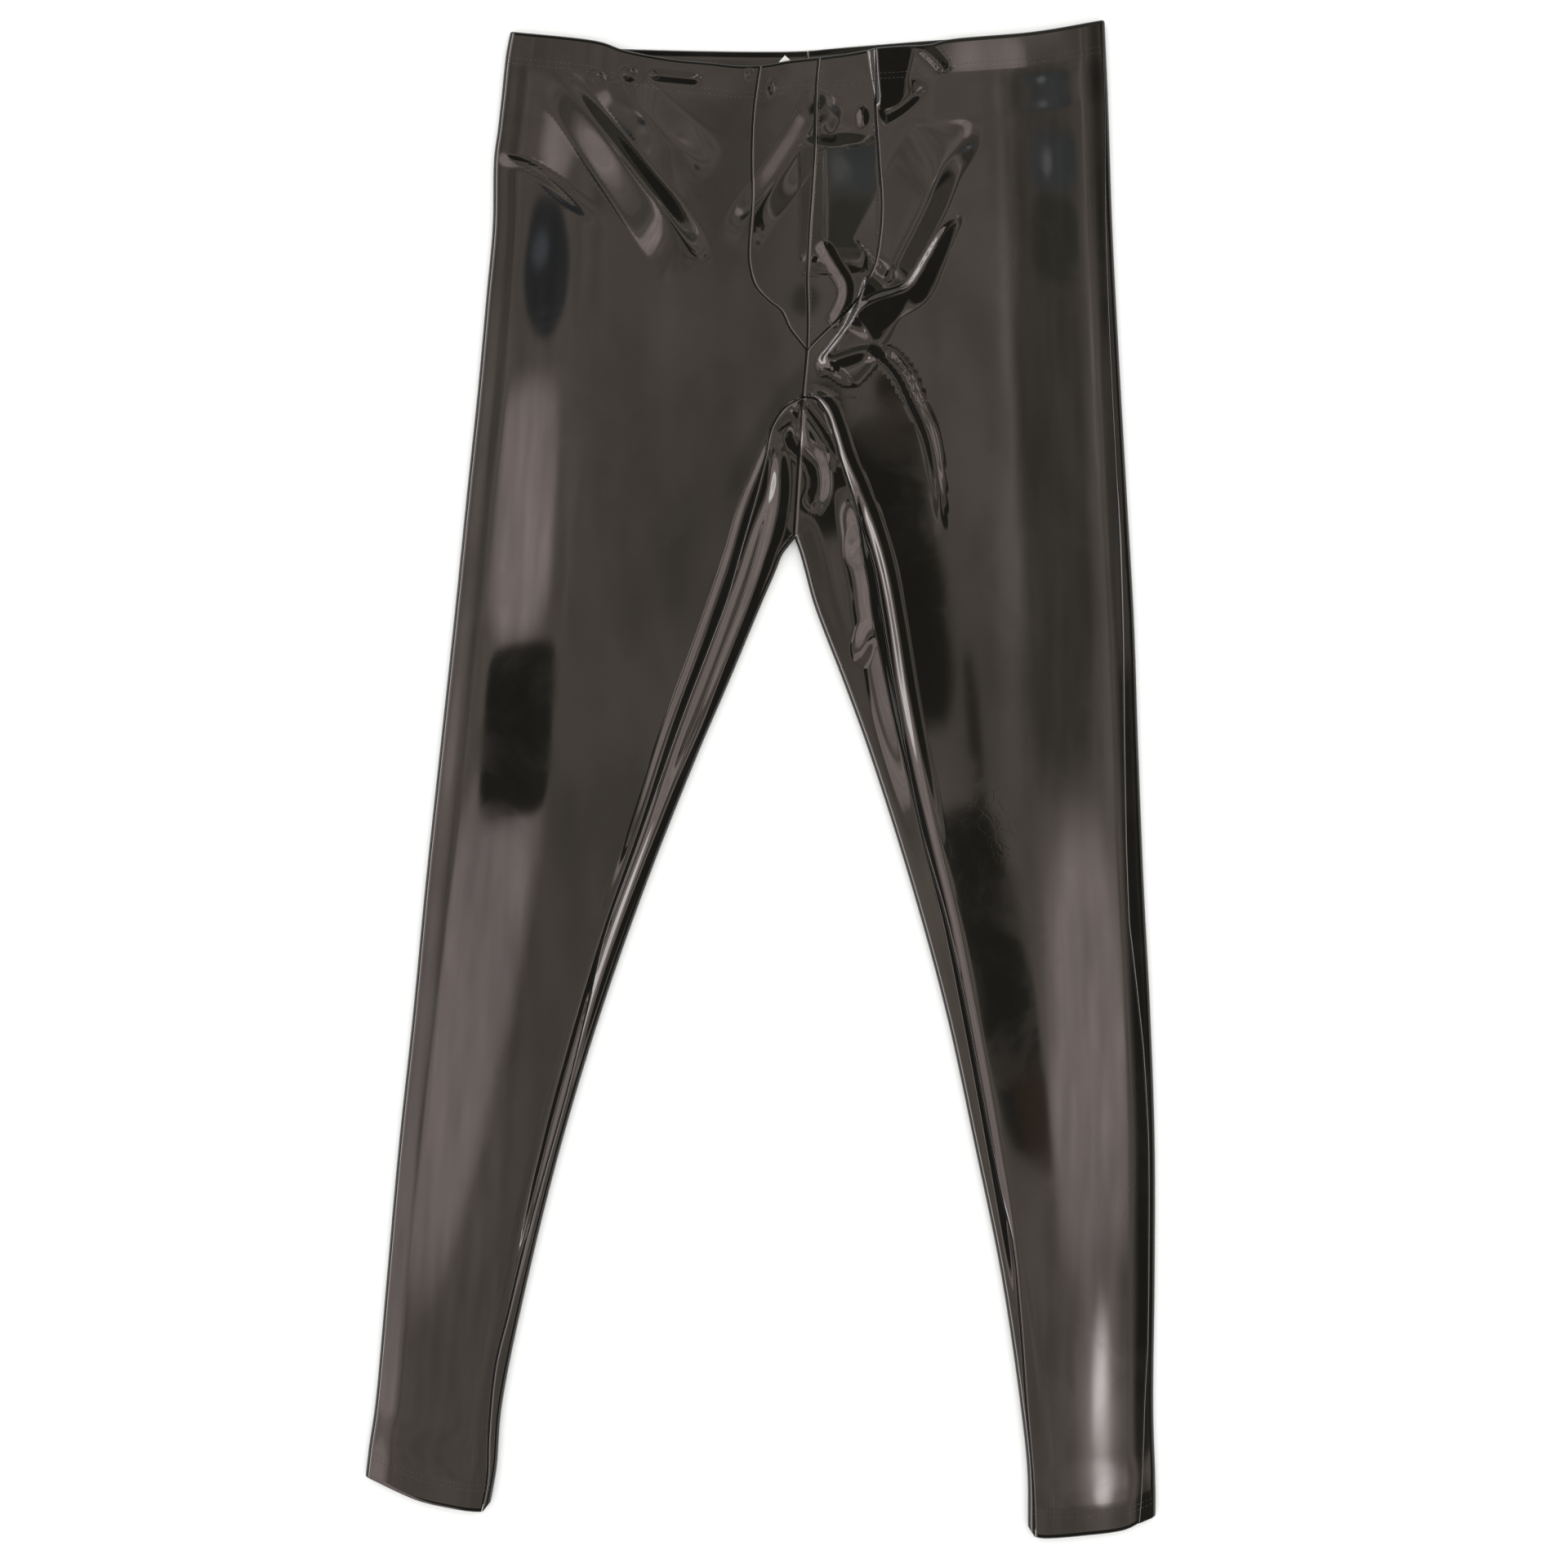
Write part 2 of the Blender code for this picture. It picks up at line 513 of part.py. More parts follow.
def reach_of(points, place):
    return np.hypot(points[:, 0] - place[0], points[:, 1] - place[1])


def row_start(side, start, inner_run):
    """The stretch of a back row from its inner seam down to the floor."""
    if inner_run is not None:
        return row_from_top(side, start, inner_run)
    if not start[2]:
        return start[None, :], np.array([[0.0, 0.0, -1.0]]), np.array([EDGE_STEP])
    tilt = math.asin(1.0 - start[2] / EDGE_HEIGHT)
    inward = side.sign * side.inner.normal(0.0)
    across = math.atan2(inward[0], inward[1])
    share = np.linspace(0, 1, 9)
    turn = across * (1.0 - tilt / (math.pi / 2)) * share
    tilts = tilt + (math.pi / 2 - tilt) * share
    heading = np.column_stack([np.sin(turn), np.cos(turn)])
    apex = side.inner.at(0.0) + np.array([start[0] - side.inner.at(0.0)[0], 0.0])
    plan = apex + heading * EDGE_FOOT * (1 - np.cos(tilts))[:, None]
    points = np.column_stack([plan, EDGE_HEIGHT * (1 - np.sin(tilts))])
    normals = np.column_stack([-heading * np.cos(tilts)[:, None], -np.sin(tilts)])
    return points, normals, np.full(9, EDGE_STEP)


def row_from_top(side, start, inner_run):
    """The stretch of a back row from a seam on the top round the inner edge to the floor."""
    edge = side.inner
    low, low_normals = edge_wrap(edge, inner_run, side.sign * edge.normal(inner_run), 0.5)
    low, low_normals = low[12::-1], low_normals[12::-1]
    place = edge.at(inner_run)
    share = np.linspace(1.0, 0.0, 90)[:-1, None] ** 2
    plan = place + (start[:2] - place) * share
    plan = plan[nearest(plan, edge.coarse(EDGE_RUNS))[0] > EDGE_MARGIN]
    points, normals = on_top(plan)
    depth = nearest(plan, edge.coarse(EDGE_RUNS))[0]
    top_step = max(TOP_STEP, math.dist(start[:2], place) / TOP_STRIP_STEPS)
    steps = np.where(depth > EDGE_ROUND + 1.0, top_step, EDGE_STEP)
    return (np.concatenate([points, low]), np.concatenate([normals, low_normals]),
            np.concatenate([steps, np.full(len(low), EDGE_STEP)]))


def back_rows(side):
    """Where each row of a back panel starts: its place, its inner edge run and its seam run."""
    gap = SEAM_GAP / 2
    seam, top = PATHS["centre_back"], PATHS["crotch_back"]
    floor_end = seam.length - EDGE_FOOT
    rows = []
    for run in [TURN_RADIUS, *run_steps(CASING_DEPTH, floor_end, *BACK_ROW_STEPS)]:
        rows.append((np.append(seam.beside(run, side.sign * gap), 0.0), None, run))
    apex = seam.at(seam.length)
    for angle in np.radians((65, 40, 18)):
        place = apex + np.array([side.sign * gap, EDGE_FOOT * (1 - math.cos(angle))])
        rise = EDGE_HEIGHT * (1 - math.sin(angle))
        rows.append((np.append(place, rise), None, floor_end + rise))
    turned_run = floor_end + 4.8
    for run in run_steps(CROTCH_GAP, top.length - CROTCH_GAP, *CROTCH_BACK_ROW_STEPS):
        edge_run = INNER_EDGE_ROWS[0][1] * math.sqrt(run / top.length)
        rows.append((top.beside(run, -side.sign * gap), edge_run, turned_run + run))
    keys = np.array(INNER_EDGE_ROWS + ((side.inseam.length, side.inner.length - TURN_RADIUS),), float)
    for run in inseam_runs(side):
        edge_run = np.interp(run, *keys.T)
        rows.append((side.inseam.beside(run, -side.sign * gap), edge_run,
                     turned_run + top.length + run))
    return rows


def back_panel(side, material):
    """Half of the back: on the floor, round the folded edges and up to the front's seams."""
    rows = back_rows(side)
    runs = np.array([row[2] for row in rows])
    keys = np.array(BACK_ROW_ENDS + ((runs[-1], side.outer.length - TURN_RADIUS),), float)
    side_runs = np.interp(runs, *keys.T)
    side_runs[0] = TURN_RADIUS
    side_runs[-2] = side_runs[-1] - HEM_DEPTH + TURN_RADIUS
    grid = [back_row(side, start, inner_run, side_run)
            for (start, inner_run, _), side_run in zip(rows, side_runs)]
    points = np.array([row[0] for row in grid])
    normals = np.array([row[1] for row in grid])
    waist_lift = bow(PATHS["waist_back"], points[0, 0, 0], points[0, -1, 0])
    hem_lift = bow(side.hem, points[-1, 0, 0], points[-1, -1, 0])
    points[..., 1] += (waist_lift(points[..., 0])
                       * (1.0 - ease((runs[:, None] - CASING_DEPTH) / 60.0)))
    points[..., 1] += (hem_lift(points[..., 0])
                       * (1.0 - ease((runs[-1] - runs[:, None] - HEM_DEPTH) / 60.0)))
    return wall_object("back_panel_" + side.name, *turn_in_both(points, normals), material)


def label(material):
    """Blank label, askew on the inside of the back waist, with one corner above the front."""
    turn = math.radians(LABEL_TURN)
    right = np.array([math.cos(turn), -math.sin(turn)]) * LABEL_WIDTH
    left = np.array([-math.sin(turn), -math.cos(turn)]) * LABEL_LENGTH
    corner = np.array(LABEL_CORNER)
    outline = [corner, corner + right, corner + right + left, corner + left]
    low = 2 * WALL + TURN_GAP + SEAM_GAP
    corners = [(*place, low + rise) for rise in (0.0, LABEL_THICKNESS) for place in outline]
    faces = [(0, 1, 2, 3), (7, 6, 5, 4)]
    faces += [(start, 4 + start, 4 + (start + 1) % 4, (start + 1) % 4) for start in range(4)]
    return mesh_object("waist_label", np.array(corners) * MM, faces, material)


def finish(name, colour, roughness):
    """Principled material of one piece."""
    material = bpy.data.materials.new(name)
    material.use_nodes = True
    shader = material.node_tree.nodes["Principled BSDF"]
    shader.inputs["Base Color"].default_value = (*colour, 1.0)
    shader.inputs["Roughness"].default_value = roughness
    shader.inputs["Metallic"].default_value = 0.0
    return material


def centre_footprint(things):
    """Moves the pieces so that the middle of their common footprint is the origin."""
    corners = np.array([vertex.co[:] for thing in things for vertex in thing.data.vertices])
    middle = (corners.min(0) + corners.max(0)) / 2
    for thing in things:
        for vertex in thing.data.vertices:
            vertex.co.x -= middle[0]
            vertex.co.y -= middle[1]


def main():
    for thing in list(bpy.data.objects):
        bpy.data.objects.remove(thing)
    things = []
    for side in (RIGHT, LEFT):
        for build, name in ((front_panel, "front"), (pouch_half, "pouch"), (back_panel, "back")):
            things.append(build(side, finish(f"vinyl_{name}_{side.name}", *VINYL_FINISH)))
    things.append(label(finish("label_white", *LABEL_FINISH)))
    centre_footprint(things)


main()
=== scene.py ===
"""Looks of wet-look leggings with a pouch front, which lie flat on a pale floor, front up.

Plan sizes are in millimetres: across is +X, towards the wearer's left, and along is +Y, towards
the waist. The top of the garment is one height function, so that the pieces meet at their seams,
and every cut piece is a closed wall of cloth. The studio is a room of soft panels above the floor,
which the gloss of the cloth mirrors.
"""
from __future__ import annotations

import logging
import math
from dataclasses import dataclass
from enum import Enum

import bpy
import numpy as np
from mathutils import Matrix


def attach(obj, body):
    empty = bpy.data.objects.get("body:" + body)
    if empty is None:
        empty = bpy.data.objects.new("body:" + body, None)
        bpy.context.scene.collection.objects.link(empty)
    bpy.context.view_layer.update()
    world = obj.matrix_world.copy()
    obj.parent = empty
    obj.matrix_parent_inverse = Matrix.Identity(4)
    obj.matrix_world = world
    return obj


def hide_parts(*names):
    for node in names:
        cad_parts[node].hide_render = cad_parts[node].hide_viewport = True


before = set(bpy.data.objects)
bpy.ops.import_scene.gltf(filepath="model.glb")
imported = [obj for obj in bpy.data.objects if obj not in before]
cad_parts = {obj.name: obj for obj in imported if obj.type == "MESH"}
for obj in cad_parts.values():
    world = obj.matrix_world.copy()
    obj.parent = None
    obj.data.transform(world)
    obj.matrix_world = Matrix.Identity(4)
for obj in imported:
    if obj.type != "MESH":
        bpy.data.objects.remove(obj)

LOG = logging.getLogger("leggings")
MM = 0.001
TINY = 1e-12  # keeps a divisor above zero
Colour = tuple[float, float, float]
Socket = bpy.types.NodeSocket
BODY = "root"

# Plan curves of the garment, from the waist down. Columns: across, along
LINES: dict[str, tuple[tuple[float, float], ...]] = {
    "right_outer": (
        (-169, 503), (-172, 487), (-175, 459), (-177.5, 437), (-180, 418), (-181, 371), (-185, 327),
        (-191, 261), (-198, 195), (-207, 107), (-216.5, 19), (-226, -69), (-234.5, -157),
        (-244, -245), (-252, -333), (-260, -421), (-264, -448), (-266.5, -469),
    ),
    "right_inner": (
        (22.3, 162), (14, 151), (9.5, 140), (0, 118), (-23, 63), (-42, 19), (-77, -69),
        (-108, -157), (-134.5, -245), (-156.5, -333), (-174.5, -421), (-178, -465), (-180.5, -480),
        (-182.5, -490.5),
    ),
    "left_inner": (
        (22.3, 162), (26, 151), (29, 140), (35, 118), (56, 63), (72, 19), (100, -69), (124, -157),
        (143, -245), (161, -333), (174, -421), (178.5, -465), (179, -506),
    ),
    "left_outer": (
        (230.7, 510.5), (233, 459), (236, 371), (240.5, 283), (245.5, 195), (250.5, 107),
        (253.5, 19), (257, -69), (261.5, -157), (264.5, -245), (264.5, -333), (263.5, -421),
        (265, -481), (265, -500),
    ),
    "right_inseam": (
        (28, 257), (16, 250), (7, 236), (3, 217), (-2.5, 195), (-15, 151), (-23, 123), (-34.5, 92),
        (-54, 41), (-84, -44), (-105, -103), (-118.5, -159), (-131, -211), (-145, -261),
        (-158, -309), (-170, -359), (-178.5, -394), (-183, -440), (-184, -470), (-188, -492),
    ),
    "left_inseam": (
        (28, 257), (33, 257.5), (38, 255), (44, 246), (49, 231), (54, 214), (61, 193), (67, 172),
        (75.5, 144), (80.5, 115), (92, 46), (107.5, -34), (124.5, -95), (138, -157), (152.5, -235),
        (161.5, -280), (168.5, -310), (174, -362), (178, -417), (182.5, -471), (184, -509),
    ),
    "right_pouch": (
        (-0.8, 480), (-4.7, 453), (-6.3, 426), (-6.3, 387), (-8.3, 356), (-8, 347), (-4, 332),
        (5, 322), (13.5, 315), (19.5, 303), (26, 294.5), (30.5, 289),
    ),
    "left_pouch": (
        (76.5, 491), (77, 450), (79, 420), (81, 385), (80, 367), (76.5, 347), (67.5, 328),
        (59.5, 316), (47.5, 305), (37.5, 295.5), (31.5, 289),
    ),
    "centre_front": (
        (38.8, 485.4), (37, 465), (36, 426), (34, 396), (32, 367), (31, 337), (31.5, 308),
        (31, 289),
    ),
    "crotch_front": (
        (31, 289), (30, 278), (28, 257),
    ),
    "centre_back": (
        (31, 490.5), (27, 330), (22.3, 162),
    ),
    "crotch_back": (
        (22.3, 162), (25.2, 210), (28, 257),
    ),
    "waist_front": (
        (-169, 502.5), (-108.5, 495.3), (-95, 490.5), (-79.5, 487), (-58, 483.5), (-36, 481.5),
        (-13.5, 479.3), (2.5, 480), (19, 483), (38.8, 485.4), (58.5, 488), (76.5, 491), (97.5, 493),
        (114, 494.2), (125, 497), (184.5, 502.5), (230.7, 510.4),
    ),
    "waist_back": (
        (-169, 502.5), (-128, 497.5), (-103, 492.5), (-73, 491), (2.5, 489.8), (29, 490.3),
        (48.5, 492), (97.5, 496), (125, 498), (184.5, 503.2), (230.7, 510.4),
    ),
    "right_hem": (
        (-266.5, -469), (-234, -484), (-222.5, -487.5), (-210.5, -490), (-198, -492.2),
        (-188, -492.8), (-182.5, -491.8),
    ),
    "left_hem": (
        (265, -500), (254, -505), (244, -508.8), (215, -510.3), (190, -509.9), (184, -508.6),
        (179, -507),
    ),
}

# How far inside the outer edge each side seam lies. Columns: along, inset
SIDE_SEAM_INSET: dict[str, tuple[tuple[float, float], ...]] = {
    "right": ((510, 1.6), (-510, 1.6)),
    "left": ((510, 2.0), (440, 3.0), (380, 5.0), (288, 6.5), (186, 7.0), (93, 8.8), (-43, 11.5),
             (-95, 12.0), (-180, 6.5), (-240, 5.0), (-380, 4.8), (-440, 7.5), (-510, 12.5)),
}

# Where the rows of a panel end at its side seam. Columns: run of the inner seam, run of the side
FRONT_ROW_ENDS = ((0, 0), (20, 20), (205, 208), (240, 248), (300, 300), (420, 412))
BACK_ROW_ENDS = ((0, 0), (20, 20), (190, 196), (262, 262), (322, 306), (335, 314), (430, 350),
                 (480, 372), (548, 408), (611, 446), (665, 486), (756, 562))
# Where the rows that start on an inseam cross the inner edge. Columns: inseam run, edge run
INNER_EDGE_ROWS = ((0, 8), (14, 11), (30, 14.5), (50, 19), (73, 27), (118, 47), (148, 68),
                   (181, 94), (235, 141), (326, 232))


class Grain(Enum):
    """Which face of the cloth a polygon belongs to, by its material index."""

    GLOSS = 0
    KNIT = 1


class Leg(Enum):
    """The wearer's right leg, at -X, and left leg, at +X."""

    RIGHT = -1
    LEFT = 1


# ---- curves in plan


def ease(value: np.ndarray | float) -> np.ndarray:
    """Smooth step from 0 to 1, as the value goes from 0 to 1."""
    value = np.clip(value, 0.0, 1.0)
    return value * value * (3.0 - 2.0 * value)


def unit(vectors: np.ndarray) -> np.ndarray:
    """Vectors of length 1 along the last axis."""
    return vectors / np.maximum(np.linalg.norm(vectors, axis=-1, keepdims=True), TINY)


def rounded(knots: np.ndarray, step: float = 0.5) -> np.ndarray:
    """Smooth curve through a few knots.

    Args:
        knots: places that the curve passes.
        step: distance between its points.

    Returns:
        Points of a centripetal spline.
    """
    spans = np.sqrt(np.linalg.norm(np.diff(knots, axis=0), axis=1))
    rates = np.diff(knots, axis=0) / spans[:, None]
    slopes = np.empty_like(knots)
    slopes[0] = rates[0]
    slopes[-1] = rates[-1]
    before, after = spans[:-1, None], spans[1:, None]
    slopes[1:-1] = (rates[:-1] * after + rates[1:] * before) / (before + after)
    result = [knots[:1]]
    for index, span in enumerate(spans):
        count = max(2, int(math.dist(knots[index], knots[index + 1]) / step))
        t = np.linspace(0, 1, count + 1)[1:, None]
        result.append(knots[index] * (1 + 2 * t) * (1 - t) ** 2
                      + knots[index + 1] * t ** 2 * (3 - 2 * t)
                      + slopes[index] * span * t * (1 - t) ** 2
                      + slopes[index + 1] * span * t ** 2 * (t - 1))
    return np.concatenate(result)


class Path:
    """A curve in plan through a few points, measured by its run from the first one.

    Attributes:
        points: close points of the curve, in mm.
        runs: run of each point.
        length: run of the last point.
        NORMAL_REACH: how far to each side a normal is measured.
    """

    NORMAL_REACH = 1.5

    def __init__(self, knots: tuple | np.ndarray) -> None:
        """Rounds the curve and measures its runs.

        Args:
            knots: places that the curve passes.
        """
        self.points = rounded(np.array(knots, float))
        self.runs = np.concatenate([[0.0], np.cumsum(np.hypot(*np.diff(self.points, axis=0).T))])
        self.length = float(self.runs[-1])

    def at(self, run: np.ndarray | float) -> np.ndarray:
        """Point at a run, or points at several."""
        places = [np.interp(run, self.runs, self.points[:, axis]) for axis in (0, 1)]
        return np.stack(places, axis=-1)

    def normal(self, run: np.ndarray | float) -> np.ndarray:
        """Unit normal, which points to +X where the curve runs down from the waist.

        Args:
            run: a run, or several.

        Returns:
            The normals, each measured over a short stretch of the curve.
        """
        run = np.asarray(run, float)
        ahead = self.at(np.minimum(run + self.NORMAL_REACH, self.length))
        behind = self.at(np.maximum(run - self.NORMAL_REACH, 0.0))
        step = unit(ahead - behind)
        return np.stack([-step[..., 1], step[..., 0]], axis=-1)

    def beside(self, run: np.ndarray | float, distance: float) -> np.ndarray:
        """Point beside the curve, to the side of its normal."""
        return self.at(run) + self.normal(run) * distance

    def along_at(self, across: np.ndarray | float) -> np.ndarray:
        """Where the curve crosses a line that runs along the garment."""
        order = np.argsort(self.points[:, 0])
        return np.interp(across, self.points[order, 0], self.points[order, 1])

    def coarse(self, step: float) -> np.ndarray:
        """The curve as straight runs of about one step."""
        return self.at(np.linspace(0, self.length, max(2, int(self.length / step)) + 1))


PATHS = {name: Path(knots) for name, knots in LINES.items()}
BATCH = 1200  # places that are measured at once


def nearest(plan: np.ndarray, line: np.ndarray, reach: float) -> tuple[np.ndarray, ...]:
    """Distance of plan points from a line of short straight runs.

    Args:
        plan: places, one a row.
        line: corners of the line.
        reach: distance past which nothing is measured.

    Returns:
        Distance (the reach where it is further), share of the line passed there, and the side:
        1 to the left of the line's heading and -1 to its right.
    """
    gap = np.full(len(plan), reach)
    share = np.zeros(len(plan))
    hand = np.ones(len(plan))
    near = ((plan > line.min(0) - reach) & (plan < line.max(0) + reach)).all(1)
    order = np.flatnonzero(near)
    if not len(order):
        return gap, share, hand
    order = order[np.argsort(plan[order, 1], kind="stable")]
    start, step = line[:-1], np.diff(line, axis=0)
    size = np.maximum(np.linalg.norm(step, axis=1), TINY)
    passed = np.concatenate([[0.0], np.cumsum(size)])
    low = np.minimum(line[:-1, 1], line[1:, 1])
    high = np.maximum(line[:-1, 1], line[1:, 1])
    for part in np.array_split(order, max(1, len(order) // BATCH)):
        places = plan[part]
        runs = np.flatnonzero((high > places[:, 1].min() - reach)
                              & (low < places[:, 1].max() + reach))
        if not len(runs):
            continue
        offset = places[:, None, :] - start[runs]
        spot = np.clip((offset * step[runs]).sum(-1) / size[runs] ** 2, 0.0, 1.0)
        off = offset - spot[..., None] * step[runs]
        distance = np.hypot(off[..., 0], off[..., 1])
        best = distance.argmin(1)
        run = runs[best]
        rows = np.arange(len(part))
        closer = distance[rows, best]
        cross = step[run, 0] * offset[rows, best, 1] - step[run, 1] * offset[rows, best, 0]
        kept = closer < reach
        gap[part[kept]] = closer[kept]
        share[part[kept]] = ((passed[run] + spot[rows, best] * size[run]) / passed[-1])[kept]
        hand[part[kept]] = np.where(cross >= 0, 1.0, -1.0)[kept]
    return gap, share, hand


# ---- how the garment lies


@dataclass(frozen=True)
class Fold:
    """A fold that follows a line in plan.

    Attributes:
        rise: height of its crest, negative for a trough.
        left: width of its flank to the left of the line's heading.
        right: width of its other flank.
        points: the line.
        crest: radius that rounds the crest.
        fall: 1 for straight flanks, more for flanks that ease out.
        start: share of the line over which it grows.
        stop: share of the line over which it dies out.
        taper: its width at the line's first point, as a share of that at the last.
        line_step: length of the straight runs that stand for the line.
    """

    rise: float
    left: float
    right: float
    points: tuple[tuple[float, float], ...]
    crest: float = 1.0
    fall: float = 1.4
    start: float = 0.25
    stop: float = 0.25
    taper: float = 1.0
    line_step: float = 1.2

    def lift(self, plan: np.ndarray) -> np.ndarray:
        """Height that the fold adds.

        Args:
            plan: plan points, one a row.

        Returns:
            A height for each of them.
        """
        reach = max(self.left, self.right) * max(self.taper, 1.0)
        gap, share, hand = nearest(plan, Path(self.points).coarse(self.line_step), reach)
        width = (np.where(hand > 0, self.left, self.right)
                 * (self.taper + (1.0 - self.taper) * share))
        fallen = ((np.sqrt(gap ** 2 + self.crest ** 2) - self.crest)
                  / (np.sqrt(width ** 2 + self.crest ** 2) - self.crest))
        section = np.maximum(1.0 - fallen, 0.0) ** self.fall
        return self.rise * section * ease(share / self.start) * ease((1.0 - share) / self.stop)


@dataclass(frozen=True)
class Swelling:
    """A round rise of the cloth over an ellipse that may be turned.

    Attributes:
        rise: height of its middle, negative for a hollow.
        across: place of its middle.
        along: place of its middle.
        wide: half width.
        long: half length.
        turn: degrees that its length leans to the left of +Y.
    """

    rise: float
    across: float
    along: float
    wide: float
    long: float
    turn: float = 0.0

    def lift(self, plan: np.ndarray) -> np.ndarray:
        """Height that the swelling adds.

        Args:
            plan: plan points, one a row.

        Returns:
            A height for each of them.
        """
        turn = math.radians(self.turn)
        across, along = plan[:, 0] - self.across, plan[:, 1] - self.along
        right = across * math.cos(turn) + along * math.sin(turn)
        up = along * math.cos(turn) - across * math.sin(turn)
        reach = (right / self.wide) ** 2 + (up / self.long) ** 2
        return self.rise * np.maximum(1.0 - reach, 0.0) ** 2


